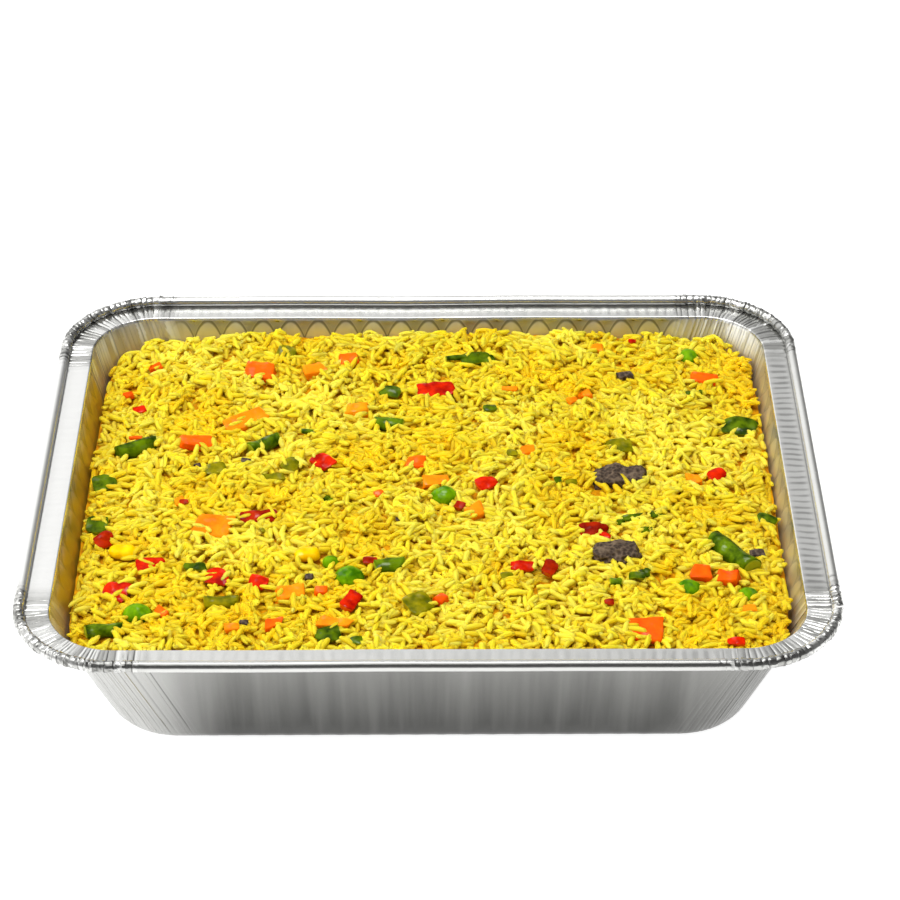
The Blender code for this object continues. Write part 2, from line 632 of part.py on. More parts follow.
def build_rice(footprints):
    rng = random.Random(7)
    profile = rim_profile()
    edge = rice_edge(profile)
    clearance = RICE_TO_FOIL + max(FLUTE_DEPTH, PLEAT_DEPTH) / 2
    bm = bmesh.new()
    rings = []
    for inset, height, radius, _ in skin(profile, FOIL / 2 + clearance)[:FILLET_STEPS + 1]:
        rings.append(ring_of(bm, inset, height, radius, "plain"))
    top_ring = [(share, bm.verts.new((spot.x, spot.y, height))) for share, spot, height in edge]
    for lower, upper in zip(rings, rings[1:] + [top_ring]):
        stitch(bm, lower, upper)
    bm.faces.new([vertex for _, vertex in reversed(rings[0])])

    pockets = [grown(loop, POCKET_GAP + POCKET_TAPER) for loop, _ in footprints]
    flat = [spot for _, spot, _ in edge]
    tops = [vertex for _, vertex in top_ring]
    lines = [(i, (i + 1) % len(flat)) for i in range(len(flat))]

    def add_loop(loop, heights):
        first = len(flat)
        for point, height in zip(loop, heights):
            flat.append(point)
            tops.append(bm.verts.new((point.x, point.y, height)))
        count = len(loop)
        lines.extend((first + i, first + (i + 1) % count) for i in range(count))

    for loop, (footprint, bottom) in zip(pockets, footprints):
        add_loop(loop, [rice_level(p.x, p.y) for p in loop])
        floor = grown(footprint, POCKET_GAP)
        add_loop(floor, [bottom - POCKET_FLOOR_GAP] * len(floor))
    boundary = [spot for _, spot, _ in edge]
    for point, height in grain_points(boundary, pockets, rng):
        flat.append(point)
        tops.append(bm.verts.new((point.x, point.y, height)))

    _, _, triangles, kept, _, _ = delaunay_2d_cdt(flat, lines, [], 1, 1e-7, True)
    for triangle in triangles:
        corners = [kept[i][0] for i in triangle]
        middle = sum((flat[i] for i in corners), Vector((0, 0))) / 3
        if inside_outline(middle, boundary):
            bm.faces.new([tops[i] for i in corners])
    bmesh.ops.recalc_face_normals(bm, faces=bm.faces)
    return object_from("rice", bm, material("rice", RICE_YELLOW), 30)


def main():
    clear_scene()
    build_tray()
    materials = {name: material(name, finish) for name, finish in FINISHES.items()}
    footprints = [build_vegetable(name, piece, materials) for name, piece in VEGETABLES.items()]
    build_rice(footprints)


main()
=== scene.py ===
import math
import random

import bpy
import numpy as np
from mathutils import Euler, Matrix, Vector, noise
from mathutils.bvhtree import BVHTree


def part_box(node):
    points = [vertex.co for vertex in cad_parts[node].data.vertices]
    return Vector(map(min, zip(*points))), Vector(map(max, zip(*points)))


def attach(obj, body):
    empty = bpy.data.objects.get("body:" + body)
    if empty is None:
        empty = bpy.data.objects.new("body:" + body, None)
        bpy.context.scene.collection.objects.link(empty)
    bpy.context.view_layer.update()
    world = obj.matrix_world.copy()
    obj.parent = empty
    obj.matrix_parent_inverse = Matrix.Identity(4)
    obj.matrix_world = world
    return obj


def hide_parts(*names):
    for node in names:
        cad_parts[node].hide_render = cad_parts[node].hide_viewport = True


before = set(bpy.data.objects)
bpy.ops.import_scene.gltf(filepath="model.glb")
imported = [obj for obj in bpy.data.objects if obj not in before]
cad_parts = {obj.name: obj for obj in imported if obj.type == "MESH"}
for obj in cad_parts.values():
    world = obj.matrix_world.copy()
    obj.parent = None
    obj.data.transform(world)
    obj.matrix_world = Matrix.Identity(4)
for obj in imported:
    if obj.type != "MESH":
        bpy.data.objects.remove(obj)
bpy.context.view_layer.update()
mm = 0.001

# Camera, where the photograph was taken from
shot = {
    "lens": 118.44,
    "target": (9.1 * mm, 11.6 * mm, 64.4 * mm),
    "distance": 1243 * mm,
    "elevation": 35.1,
    "yaw": -0.33,
    "pixels": 900,
    "sensor": 36.0,
}

elevation = math.radians(shot["elevation"])
yaw = math.radians(shot["yaw"])
backward = Vector((math.sin(yaw) * math.cos(elevation), -math.cos(yaw) * math.cos(elevation),
                   math.sin(elevation)))
eye = Vector(shot["target"]) + backward * shot["distance"]
turnToScene = backward.to_track_quat("Z", "Y").to_matrix()


def deselectAll():
    for item in bpy.context.selected_objects:
        item.select_set(False)
    bpy.context.view_layer.objects.active = None


def setUpCamera():
    data = bpy.data.cameras.new("shotCamera")
    data.lens = shot["lens"]
    data.sensor_width = shot["sensor"]
    data.clip_end = 20
    camera = bpy.data.objects.new("shotCamera", data)
    camera.matrix_world = Matrix.Translation(eye) @ turnToScene.to_4x4()
    bpy.context.scene.collection.objects.link(camera)
    bpy.context.scene.camera = camera


setUpCamera()
deselectAll()
print("camera ready")


# Shader maths on sockets: a + b, 1 - a, a * b add their Math nodes
class Wire:
    def __init__(self, tree, socket):
        self.tree = tree
        self.socket = socket

    def maths(self, operation, first, second):
        node = self.tree.nodes.new("ShaderNodeMath")
        node.operation = operation
        plug(self.tree, node.inputs[0], first)
        plug(self.tree, node.inputs[1], second)
        return Wire(self.tree, node.outputs[0])

    def __add__(self, other):
        return self.maths("ADD", self, other)

    def __radd__(self, other):
        return self.maths("ADD", other, self)

    def __sub__(self, other):
        return self.maths("SUBTRACT", self, other)

    def __rsub__(self, other):
        return self.maths("SUBTRACT", other, self)

    def __mul__(self, other):
        return self.maths("MULTIPLY", self, other)

    def __rmul__(self, other):
        return self.maths("MULTIPLY", other, self)


def plug(tree, socket, value):
    if isinstance(value, Wire):
        tree.links.new(value.socket, socket)
    else:
        socket.default_value = value


class Finish:
    def __init__(self, name, **fixed):
        self.material = bpy.data.materials.new(name)
        self.material.use_nodes = True
        self.tree = self.material.node_tree
        self.shader = self.tree.nodes["Principled BSDF"]
        self.set(**fixed)

    # Sockets by name, with spaces written as underscores
    def set(self, **values):
        for name, value in values.items():
            plug(self.tree, self.shader.inputs[name.replace("_", " ")], value)

    def add(self, kind, settings=None, sockets=None, output=0):
        node = self.tree.nodes.new("ShaderNode" + kind)
        for name, value in (settings or {}).items():
            if name == "stops":
                makeStops(node.color_ramp, value)
            else:
                setattr(node, name, value)
        for name, value in (sockets or {}).items():
            plug(self.tree, node.inputs[name], value)
        return Wire(self.tree, node.outputs[output])

    def place(self):
        return self.add("TexCoord", output="Object")

    # The three parts of a colour or a vector
    def parts(self, kind, source):
        node = self.tree.nodes.new("ShaderNodeSeparate" + kind)
        plug(self.tree, node.inputs[0], source)
        return [Wire(self.tree, node.outputs[i]) for i in range(3)]

    # Goes from low to 1 as the value goes from start to end
    def rising(self, value, start, end, kind="SMOOTHSTEP", low=0.0):
        return self.add("MapRange", {"interpolation_type": kind},
                        {"Value": value, "From Min": start, "From Max": end, "To Min": low})

    def noise(self, scale, detail=3.0, rough=0.5, where=None):
        return self.add("TexNoise", None, {"Vector": where or self.place(), "Scale": scale,
                        "Detail": detail, "Roughness": rough})

    def ramp(self, factor, stops):
        return self.add("ValToRGB", {"stops": stops}, {"Fac": factor})

    def mix(self, factor, first, second):
        return self.add("Mix", {"data_type": "RGBA"}, {0: factor, 6: first, 7: second}, 2)

    def bump(self, height, distance, strength=1.0):
        made = self.add("Bump", None, {"Height": height, "Distance": distance, "Strength": strength},
                        "Normal")
        self.set(Normal=made)


def makeStops(ramp, stops):
    while len(ramp.elements) > 1:
        ramp.elements.remove(ramp.elements[-1])
    ramp.elements[0].position, ramp.elements[0].color = stops[0]
    for position, colour in stops[1:]:
        ramp.elements.new(position).color = colour


# A colour as it shows on screen, from 0 to 255, in the shader's own terms
def tone(red, green, blue):
    parts = [c / 255 for c in (red, green, blue)]
    return tuple(c / 12.92 if c < 0.04045 else ((c + 0.055) / 1.055) ** 2.4 for c in parts) + (1.0,)


# The tray's sizes, as the CAD has them
tray = {
    "length": 325 * mm,
    "width": 265 * mm,
    "rimHeight": 62.2 * mm,
    "top": 66 * mm,
    "cornerRadius": 41 * mm,
    "rimWidth": 14 * mm,
    "beadRadius": 2.3 * mm,
    "beadRings": 13,
    "baseInset": 34 * mm,
    "footInset": 32.4 * mm,
    "lipInset": 14.5 * mm,
    "innerRadius": 27.5 * mm,
    "baseRadius": 28 * mm,
    "fillet": 7 * mm,
    "foil": 0.3 * mm,
    "sideSpacing": 2.2 * mm,
    "flutePitch": 12.4 * mm,
    "fluteWidth": 3.7 * mm,
    "pleatWidths": (1.7 * mm, 3.5 * mm),
    "pleatRun": 12 * mm,
    # Painted shade on the bead's own rings, all round and along the front
    "creaseShade": {0: 0.55, 1: 0.75, 2: 0.45, 3: 0.15},
    "frontShade": {6: 0.45, 7: 0.9, 8: 0.75, 9: 0.35, 10: 0.25, 11: 0.3},
}


# Finishes

# Reads the foil's own facts: wall or rim, painted crease shade, chance of its facet
def foilFinish():
    foil = Finish("foil")
    where = foil.place()
    facts = foil.add("Attribute", {"attribute_name": "foilFacts"}, None, "Color")
    onWall, foldShade, facet = foil.parts("Color", facts)
    soft = foil.noise(60.0, 2.0, 0.5, where)
    fine = foil.noise(420.0, 3.0, 0.6, where)
    sideways, lengthways, height = foil.parts("XYZ", where)
    up = foil.parts("XYZ", foil.add("NewGeometry", output="Normal"))[2]
    straight = foil.add("Attribute", {"attribute_name": "foilFacts"}, None, "Alpha")
    # Length along the nearer side, for what repeats along the rim
    farX, farY = (w.maths("ABSOLUTE", w, 0.0) for w in (sideways, lengthways))
    onShort = (farX - farY).maths("GREATER_THAN", farX - farY, 30 * mm)
    along = sideways + (lengthways - sideways) * onShort
    # Streaks that run down the drawn wall
    drawn = foil.add("CombineXYZ", None, {"X": along * 110.0, "Y": onShort * 7.0, "Z": height * 5.0})
    streaks = foil.noise(1.0, 3.0, 0.55, drawn)
    rim = foil.ramp(facet * 0.6 + soft * 0.4,
                    [(0.2, tone(238, 238, 235)), (0.5, tone(228, 228, 225)), (0.9, tone(204, 204, 200))])
    # Painted shade in the soft ripples across the rim, plainest on the right
    wave = along * 1500.0 + foil.noise(40.0, 2.0, 0.5, where) * 9.0
    wave = wave.maths("SINE", wave, 0.0)
    onRight = foil.rising(sideways, 60 * mm, 150 * mm, "LINEAR", 0.12)
    dentShade = foil.rising(wave * 0.6 + soft * 1.6, 0.5, 1.5)
    inset = (tray["length"] / 2 - farX) + (farX - farY - 30 * mm) * (1 - onShort)
    offMiddle = (inset - 9.3 * mm).maths("ABSOLUTE", inset - 9.3 * mm, 0.0)
    midRim = foil.rising(offMiddle, 5.2 * mm, 2.0 * mm)
    rim = foil.mix(dentShade * onRight * midRim * straight * 0.65, rim, tone(134, 134, 132))
    # Painted light: the rim lighter towards its left end
    paintedLeftLight = foil.rising(sideways, -115 * mm, -145 * mm, "LINEAR")
    rim = foil.mix(paintedLeftLight * straight * 0.8, rim, tone(252, 252, 250))
    # Painted reflection: the corners' pleats turn grey and white by turns
    gathered = foil.ramp(facet * 0.8 + fine * 0.3, [(0.25, tone(248, 248, 245)), (0.85, tone(158, 158, 154))])
    rim = foil.mix((1 - straight) * 0.6, rim, gathered)
    # Painted shade: the outer wall grey with streaks, darker towards the bottom, and painted lighter towards
    # its left and right ends
    outer = foil.ramp(height * 14.0 + streaks * 0.8 - 0.5,
                      [(0.0, tone(82, 82, 80)), (0.5, tone(123, 123, 120)), (1.0, tone(151, 151, 148))])
    outer = foil.mix(foil.rising(sideways, -78 * mm, -118 * mm), outer, tone(187, 187, 184))
    outer = foil.mix(foil.rising(sideways, 85 * mm, 125 * mm) * 0.6, outer, tone(150, 150, 147))
    # The food's own film on the wall, thicker near the rice, with a painted reflection of the rice in it:
    # orange on the left, weaker in the corners and on the right
    filmAndReflection = foil.rising(height + streaks * 4 * mm, 65 * mm, 57 * mm)
    onRightWall = foil.rising(sideways, 90 * mm, 140 * mm, "LINEAR")
    filmAndReflection = filmAndReflection * (0.45 + straight * 0.55) * (1 - onRightWall * 0.4)
    onLeftWall = foil.rising(sideways, -105 * mm, -135 * mm, "LINEAR")
    filmAndReflectionTone = foil.mix(onLeftWall, tone(218, 204, 134), tone(200, 168, 44))
    bare = foil.ramp(streaks, [(0.3, tone(178, 176, 168)), (0.7, tone(226, 224, 216))])
    inner = foil.mix(filmAndReflection, bare, filmAndReflectionTone)
    # Bright strokes where the gathered corners catch the light
    strokes = foil.rising(facet, 0.55, 0.75, "LINEAR") * foil.rising(height, 48 * mm, 58 * mm, "LINEAR")
    inner = foil.mix(strokes * (1 - straight) * 0.8, inner, tone(250, 250, 246))
    # Painted shade: each flute ends in an arch below the rim, with a dark line round it and darker foil
    # between the arches
    beside = along.maths("PINGPONG", along, tray["flutePitch"] / 2)
    aboveArch = height - (tray["rimHeight"] - 1.1 * mm) + beside * beside * 208.0
    nearLine = aboveArch.maths("ABSOLUTE", aboveArch, 0.0)
    line = foil.rising(nearLine, 1.5 * mm, 0.3 * mm)
    between = foil.rising(aboveArch, 0.0, 1.5 * mm, "LINEAR")
    shade = (line * 0.7).maths("MAXIMUM", line * 0.7, between * 0.4) * (1 - onShort * 0.55)
    inner = foil.mix(shade * straight, inner, tone(64, 60, 36))
    # The downward-facing side takes the painted outer-wall shade; the painted crease shade is weaker on the
    # walls
    under = foil.rising(up, 0.06, -0.04)
    inside = onWall * (1 - under)
    paintedCreases = foldShade * (1 - onWall * under * 0.35 - inside * 0.5)
    shadedFoil = foil.mix(paintedCreases, foil.mix(onWall, rim, foil.mix(under, inner, outer)), tone(66, 66, 64))
    foil.set(Base_Color=shadedFoil)
    foil.set(Roughness=0.17 + fine * 0.14 + inside * 0.22, Metallic=1 - filmAndReflection * inside * 0.45)
    foil.bump(soft * 0.5 + fine * 0.08 + streaks * onWall * 0.6, 0.5 * mm, 0.5)
    return foil.material


def riceFinish(name, dull, bright, pale):
    rice = Finish(name, Roughness=0.45, IOR=1.35, Specular_IOR_Level=0.12)
    facts = rice.add("Attribute", {"attribute_name": "grainFacts"}, None, "Color")
    chance, along, sunken = rice.parts("Color", facts)
    # The shade drifts from grain to grain, so that neighbours run together
    drift = rice.noise(190.0, 3.0, 0.6)
    body = rice.ramp(chance * 0.35 + drift * 1.3 - 0.32,
                     [(0.0, dull), (0.35, bright), (0.7, bright), (1.0, pale)])
    tipped = rice.mix(along * 0.3, body, pale)
    # Painted shade: orange deepens on the grains' sides and in the gaps between them
    up = rice.parts("XYZ", rice.add("NewGeometry", output="Normal"))[2]
    sideShaded = rice.mix(rice.rising(up, 0.85, 0.15) * 0.12, tipped, tone(236, 180, 4))
    gapShaded = rice.mix(sunken * 0.55, sideShaded, tone(204, 144, 6))
    speckle = rice.noise(700.0, 2.0)
    rice.set(Base_Color=rice.mix(speckle * 0.3, gapShaded, bright))
    rice.set(Subsurface_Weight=0.8, Subsurface_Radius=(1.0, 0.96, 0.2), Subsurface_Scale=3.0 * mm)
    rice.bump(speckle, 0.12 * mm, 0.35)
    # Grains run into one another, which this kind of scattering blends without dark seams
    rice.shader.subsurface_method = "BURLEY"
    return rice.material


# The bed under the grains, darker and more orange than them: painted shade of the rice deeper down
def bedFinish():
    bed = Finish("riceBed", Roughness=0.8, Specular_IOR_Level=0.1)
    blotch = bed.noise(260.0, 3.0)
    bed.set(Base_Color=bed.ramp(blotch, [(0.35, tone(176, 110, 0)), (0.65, tone(224, 160, 4))]))
    bed.bump(blotch, 1.2 * mm, 0.8)
    return bed.material


# Wet patches, which alone are glossy
def wetSpots(finish):
    return finish.rising(finish.noise(330.0, 2.0), 0.56, 0.68)


def carrotFinish(name, deep, light):
    carrot = Finish(name, Roughness=0.4, IOR=1.4, Specular_IOR_Level=0.05, Coat_Roughness=0.12)
    grainy = carrot.noise(260.0, 4.0, 0.6)
    cloudy = carrot.noise(90.0, 2.0)
    carrot.set(Base_Color=carrot.ramp(cloudy * 0.7 + grainy * 0.3, [(0.32, deep), (0.68, light)]))
    carrot.set(Subsurface_Weight=0.25, Subsurface_Radius=(1.0, 0.3, 0.05), Subsurface_Scale=2 * mm)
    carrot.set(Coat_Weight=wetSpots(carrot))
    carrot.bump(grainy + cloudy, 0.5 * mm, 0.7)
    return carrot.material


def pepperFinish(name, deep, light, flesh):
    pepper = Finish(name, IOR=1.4, Specular_IOR_Level=0.04, Coat_Roughness=0.1)
    cloudy = pepper.noise(210.0, 4.0)
    skin = pepper.ramp(cloudy, [(0.36, deep), (0.62, light)])
    side = pepper.add("Attribute", {"attribute_name": "cutSide"}, None, "Fac")
    pepper.set(Base_Color=pepper.mix(side, skin, flesh))
    pepper.set(Roughness=0.3 + side * 0.2)
    pepper.set(Coat_Weight=wetSpots(pepper))
    pepper.bump(pepper.noise(260.0, 3.0), 0.6 * mm, 0.7)
    return pepper.material


def brownFinish():
    brown = Finish("brownChunk", Roughness=0.6, IOR=1.4, Specular_IOR_Level=0.35)
    cells = brown.add("TexVoronoi", {"feature": "F1"}, {"Vector": brown.place(), "Scale": 620.0})
    rough = brown.noise(700.0, 5.0, 0.7)
    brown.set(Base_Color=brown.ramp(cells * 0.6 + rough * 0.5,
              [(0.25, tone(24, 15, 8)), (0.5, tone(66, 51, 38)), (0.8, tone(112, 94, 74))]))
    brown.bump(cells * 0.7 + rough * 0.6, 0.8 * mm, 0.9)
    return brown.material


finishes = {
    "foil": foilFinish(),
    "riceBed": bedFinish(),
    "carrot": carrotFinish("carrot", tone(228, 70, 0), tone(252, 112, 4)),
    "carrotPale": carrotFinish("carrotPale", tone(240, 116, 2), tone(254, 160, 16)),
    "red": pepperFinish("redPepper", tone(156, 8, 0), tone(220, 38, 0), tone(224, 92, 4)),
    "darkRed": pepperFinish("darkRedPepper", tone(118, 12, 0), tone(180, 40, 0), tone(200, 92, 4)),
    "green": pepperFinish("greenPepper", tone(32, 54, 0), tone(92, 116, 2), tone(140, 146, 8)),
    "olive": pepperFinish("olivePepper", tone(88, 92, 0), tone(146, 136, 4), tone(166, 148, 10)),
    "pea": pepperFinish("pea", tone(58, 108, 0), tone(122, 172, 4), tone(140, 180, 16)),
    "bean": pepperFinish("bean", tone(38, 62, 0), tone(100, 128, 4), tone(168, 176, 30)),
    "corn": pepperFinish("corn", tone(242, 182, 0), tone(254, 212, 4), tone(250, 214, 40)),
    "brown": brownFinish(),
}
grainTones = {
    "riceGrainsAmber": (tone(201, 161, 12), tone(220, 190, 24), tone(227, 206, 48)),
    "riceGrainsGolden": (tone(204, 173, 16), tone(222, 200, 33), tone(228, 214, 66)),
    "riceGrainsYellow": (tone(208, 182, 18), tone(223, 206, 38), tone(228, 220, 76)),
    "riceGrainsBright": (tone(211, 188, 22), tone(223, 209, 48), tone(229, 223, 92)),
    "riceGrainsPale": (tone(214, 193, 32), tone(224, 213, 64), tone(230, 227, 112)),
}
print("finishes ready")


# Smooth uneven waves along a line, between about -1 and 1
def wander(along, length, seed):
    rng = np.random.default_rng(seed)
    waves = np.zeros_like(along)
    for _ in range(6):
        pitch = length * rng.uniform(0.6, 1.8)
        waves += np.sin(2 * np.pi * (along / pitch + rng.random()))
    return waves / 3.2


# Stations round the rim: side it belongs to, on a corner or not, share of the way,
# outward direction, rise of its pleat, painted crease shade of its pleat, chance of its pleat
def rimStations():
    rng = random.Random(4)
    stations = []
    arc = tray["cornerRadius"] * math.pi / 2
    run = tray["pleatRun"]
    sideLengths = [(tray["width"], tray["length"])[i % 2] - 2 * tray["cornerRadius"] for i in range(4)]
    profile = ((0.0, 0.0, 0.2), (0.3, 0.5, 0), (0.68, 1.0, 0), (0.84, 0.3, 0.7), (0.92, -0.3, 1))
    for index, start in enumerate((-90, 0, 90, 180)):
        distance = -run
        while distance < arc + run:
            width = rng.uniform(*tray["pleatWidths"])
            rise, chance = rng.uniform(0.35, 1.2), rng.random()
            turned = rng.random() < 0.5
            shapeOf = [(1 - a, b, c) for a, b, c in profile[::-1]] if turned else profile
            for part, up, dark in shapeOf:
                spot = distance + part * width
                end = min(1, max(0, (min(spot, arc + run - spot) + run) / (run * 1.3)))
                facts = (up * rise * end, dark * min(1, rise) * end, chance * end + 0.5 * (1 - end))
                if spot < 0:
                    before = (index - 1) % 4
                    station = (before, False, 1 + spot / sideLengths[before], math.radians(start))
                elif spot <= arc:
                    station = (index, True, spot / arc, math.radians(start + 90 * spot / arc))
                else:
                    station = (index, False, (spot - arc) / sideLengths[index], math.radians(start + 90))
                stations.append(station + facts)
            distance += width
        first = (distance - arc + 1.2 * mm) / sideLengths[index]
        last = 1 - (run + 1.5 * mm) / sideLengths[index]
        steps = round((last - first) * sideLengths[index] / tray["sideSpacing"])
        for step in range(steps + 1):
            share = first + (last - first) * step / steps
            stations.append((index, False, share, math.radians(start + 90), 0, 0, 0.5))
    stations.append(stations[0])
    return stations


def foilRings():
    rings = []  # inset, height, corner radius, kind
    slope = math.atan2(tray["baseInset"] - tray["rimWidth"], tray["rimHeight"])
    turn = math.pi / 2 - slope
    floorInset = tray["baseInset"] + tray["fillet"] * math.tan(turn / 2)
    lift = tray["foil"] / 2
    for inset in (132.4 * mm, 110 * mm, 85 * mm, 65 * mm, 52 * mm, 44 * mm):
        rings.append((inset, lift, max(0.1 * mm, tray["baseRadius"] - (inset - floorInset)), "base"))
    for step in range(5):
        angle = turn * step / 4
        rings.append((floorInset - tray["fillet"] * math.sin(angle),
                      lift + tray["fillet"] * (1 - math.cos(angle)), tray["baseRadius"], "fillet"))
    foot = rings[-1]
    lipHeight = tray["rimHeight"] - 1.4 * mm
    lipInset = tray["rimWidth"] + 1.2 * mm * math.tan(slope)
    lipRadius = tray["cornerRadius"] - tray["rimWidth"]
    for share in (0.12, 0.26, 0.4, 0.54, 0.66, 0.76, 0.84, 0.89, 0.93, 0.955, 0.975, 0.99, 1.0):
        rings.append((foot[0] + (lipInset - foot[0]) * share, foot[1] + (lipHeight - foot[1]) * share,
                      foot[2] + (lipRadius - foot[2]) * share, "wall"))
    for inset, drop in ((14.1, 0.55), (14.0, 0.15), (13.8, 0.0), (13.5, 0.0), (11.6, 0.02), (9.6, 0.06),
                        (7.8, 0.1), (6.0, 0.1), (4.6, 0.02)):
        rings.append((inset * mm, tray["rimHeight"] - drop * mm, tray["cornerRadius"] - inset * mm, "flange"))
    roll = tray["beadRadius"] - lift
    centre = tray["top"] - tray["beadRadius"]
    for step in range(tray["beadRings"]):
        angle = math.radians(-44 + 284 * step / (tray["beadRings"] - 1))
        inset = tray["beadRadius"] + roll * math.cos(angle)
        rings.append((inset, centre + roll * math.sin(angle), tray["cornerRadius"] - inset, "bead"))
    return rings


def giveWall(piece, thickness, offset=-1):
    wall = piece.modifiers.new("wall", "SOLIDIFY")
    wall.thickness = thickness
    wall.offset = offset
    bpy.ops.object.modifier_apply(modifier="wall")


def shapeFoil():
    stations = rimStations()
    rings = foilRings()
    count, deep = len(stations), len(rings)
    bpy.ops.mesh.primitive_grid_add(x_subdivisions=count - 1, y_subdivisions=deep - 1, size=2)
    piece = bpy.context.active_object
    piece.name = "foilTray"
    side, corner, share, angle, pleats, foldShades, chances = (np.array(column) for column in zip(*stations))
    # The corner that a side starts from, and the one that it ends at
    signX, nextX = np.array([1, 1, -1, -1])[side], np.array([1, -1, -1, 1])[side]
    signY, nextY = np.array([-1, 1, 1, -1])[side], np.array([1, 1, -1, -1])[side]
    sideLength = np.where(side % 2 == 0, tray["width"], tray["length"]) - 2 * tray["cornerRadius"]
    arc = tray["cornerRadius"] * math.pi / 2
    onSide = (share - 0.5) * sideLength
    # Length along the rim, for the ripples
    starts = np.array([0, tray["width"], tray["width"] + tray["length"], 2 * tray["width"] + tray["length"]])
    along = starts[side] + np.where(corner, share * arc, arc + share * sideLength)
    # How far into a corner, with the pleats running a little past its ends
    reach = np.where(corner, np.minimum(share, 1 - share) * arc, -np.minimum(share, 1 - share) * sideLength)
    pleated = np.clip((reach + 14 * mm) / (10 * mm), 0, 1)
    crinkle = np.sin(2 * np.pi * (along / (2.1 * mm) + wander(along, 12 * mm, 8) * 0.6))
    crinkle = crinkle * (0.6 + 0.6 * wander(along, 7 * mm, 9))
    ripples = np.sin(2 * np.pi * (along / (6.5 * mm) + 0.25 * wander(along, 40 * mm, 12)))
    ripples = ripples * (0.7 + 0.5 * wander(along, 30 * mm, 13))
    fluteCentre = np.abs(((onSide / tray["flutePitch"]) % 1) - 0.5) * tray["flutePitch"]
    rows, facts = [], []
    # Crumpled foil where the corners are gathered
    rng = np.random.default_rng(31)
    crumple = rng.normal(size=(2, len(rings), count))
    crumple = (crumple + 0.7 * np.roll(crumple, 1, axis=2)) * pleated
    for line, (inset, height, radius, kind) in enumerate(rings):
        halfX, halfY = tray["length"] / 2 - inset, tray["width"] / 2 - inset
        startX, startY = signX * (halfX - radius), signY * (halfY - radius)
        endX, endY = nextX * (halfX - radius), nextY * (halfY - radius)
        outX, outY = np.cos(angle), np.sin(angle)
        x = np.where(corner, startX, startX + (endX - startX) * share) + radius * outX
        y = np.where(corner, startY, startY + (endY - startY) * share) + radius * outY
        z = np.full(count, height)
        out, rise = np.zeros(count), np.zeros(count)
        depth = tray["rimHeight"] - height
        if kind in ("wall", "fillet"):
            fade = np.clip(height / (14 * mm), 0, 1) if kind == "wall" else height / (14 * mm)
            arch = np.sqrt(np.clip((depth - 1.6 * mm) / (3.2 * mm), 0, 1)) * tray["fluteWidth"]
            hump = np.where(fluteCentre < arch, np.cos(np.pi / 2 * fluteCentre / max(arch, 1e-6)) ** 2, 0)
            strength = 0.85 * math.exp(-max(depth - 5 * mm, 0) / (11 * mm)) + 0.12
            out += hump * strength * mm * (1 - pleated)
            out += pleats * fade * 0.24 * mm + crumple[0, line] * 0.02 * mm
            out += wander(along + depth * 0.5, 34 * mm, 15) * 0.18 * mm * fade
        if kind == "flange":
            flat = np.clip((14.1 * mm - inset) / (1.2 * mm), 0, 1)
            rise += (pleats * 0.21 + ripples * 0.1 * (1 - pleated) + crumple[0, line] * 0.035) * mm * flat
        if kind == "bead":
            beadRing = line - len(rings) + tray["beadRings"]
            rise += (crinkle * pleated * 0.16 + pleats * 0.2 + ripples * 0.03 + crumple[0, line] * 0.12) * mm
            out += (crinkle * pleated * 0.12 - np.abs(pleats) * 0.12 + crumple[1, line] * 0.13) * mm
            out = np.minimum(out, 0)
        if kind in ("flange", "bead"):
            rise += wander(along, 90 * mm, 21) * 0.12 * mm
        rows.append(np.stack([x + outX * out, y + outY * out, z + rise], axis=1))
        # Painted crease shade: a few pleats crease the whole wall, the rest fade out below the rim
        creased = np.where(chances > 0.8, 1.0, max(0, 1 - depth / (20 * mm)) * 0.7)
        strength = {"flange": 0.42, "bead": 0.8, "wall": creased * 0.9}.get(kind, 0)
        dark = foldShades * strength * (0.4 + chances)
        # Painted shade on the bead: its inner crease, dark notches in its crumples and a dark band along the
        # front
        if kind == "bead":
            dark = np.maximum(dark, tray["creaseShade"].get(beadRing, 0))
            dark = np.maximum(dark, np.clip(np.abs(crumple[1, line]) - 1.0, 0, 1) * 0.8)
            frontShade = tray["frontShade"].get(beadRing, 0)
            dark = np.maximum(dark, frontShade * np.clip(-outY * 1.6 - 0.6, 0, 1))
        wall = np.full(count, 1.0 if kind in ("wall", "fillet", "base") else 0.0)
        facts.append(np.stack([wall, np.clip(dark, 0, 1), chances, 1 - pleated], axis=1))
    rows, facts = np.stack(rows), np.stack(facts)
    flat = np.empty(len(piece.data.vertices) * 3)
    piece.data.vertices.foreach_get("co", flat)
    flat = flat.reshape(-1, 3)
    column = np.rint((flat[:, 0] + 1) / 2 * (count - 1)).astype(int)
    row = np.rint((flat[:, 1] + 1) / 2 * (deep - 1)).astype(int)
    piece.data.vertices.foreach_set("co", rows[row, column].reshape(-1))
    layer = piece.data.attributes.new("foilFacts", "FLOAT_COLOR", "POINT")
    layer.data.foreach_set("color", facts[row, column].reshape(-1))
    bpy.ops.object.mode_set(mode="EDIT")
    bpy.ops.mesh.select_all(action="SELECT")
    bpy.ops.mesh.remove_doubles(threshold=0.02 * mm)
    bpy.ops.mesh.normals_make_consistent(inside=False)
    bpy.ops.object.mode_set(mode="OBJECT")
    giveWall(piece, tray["foil"], 0)
    bpy.ops.object.shade_smooth_by_angle(angle=math.radians(50))
    return piece


def rideAndReplace(piece, finish, slot, *nodes):
    piece.data.materials.clear()
    piece.data.materials.append(finish)
    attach(piece, "root")
    if nodes:
        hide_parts(*nodes)


deselectAll()
foilTray = shapeFoil()
rideAndReplace(foilTray, finishes["foil"], "foil", "tray")
print("foil tray", len(foilTray.data.polygons), "faces")


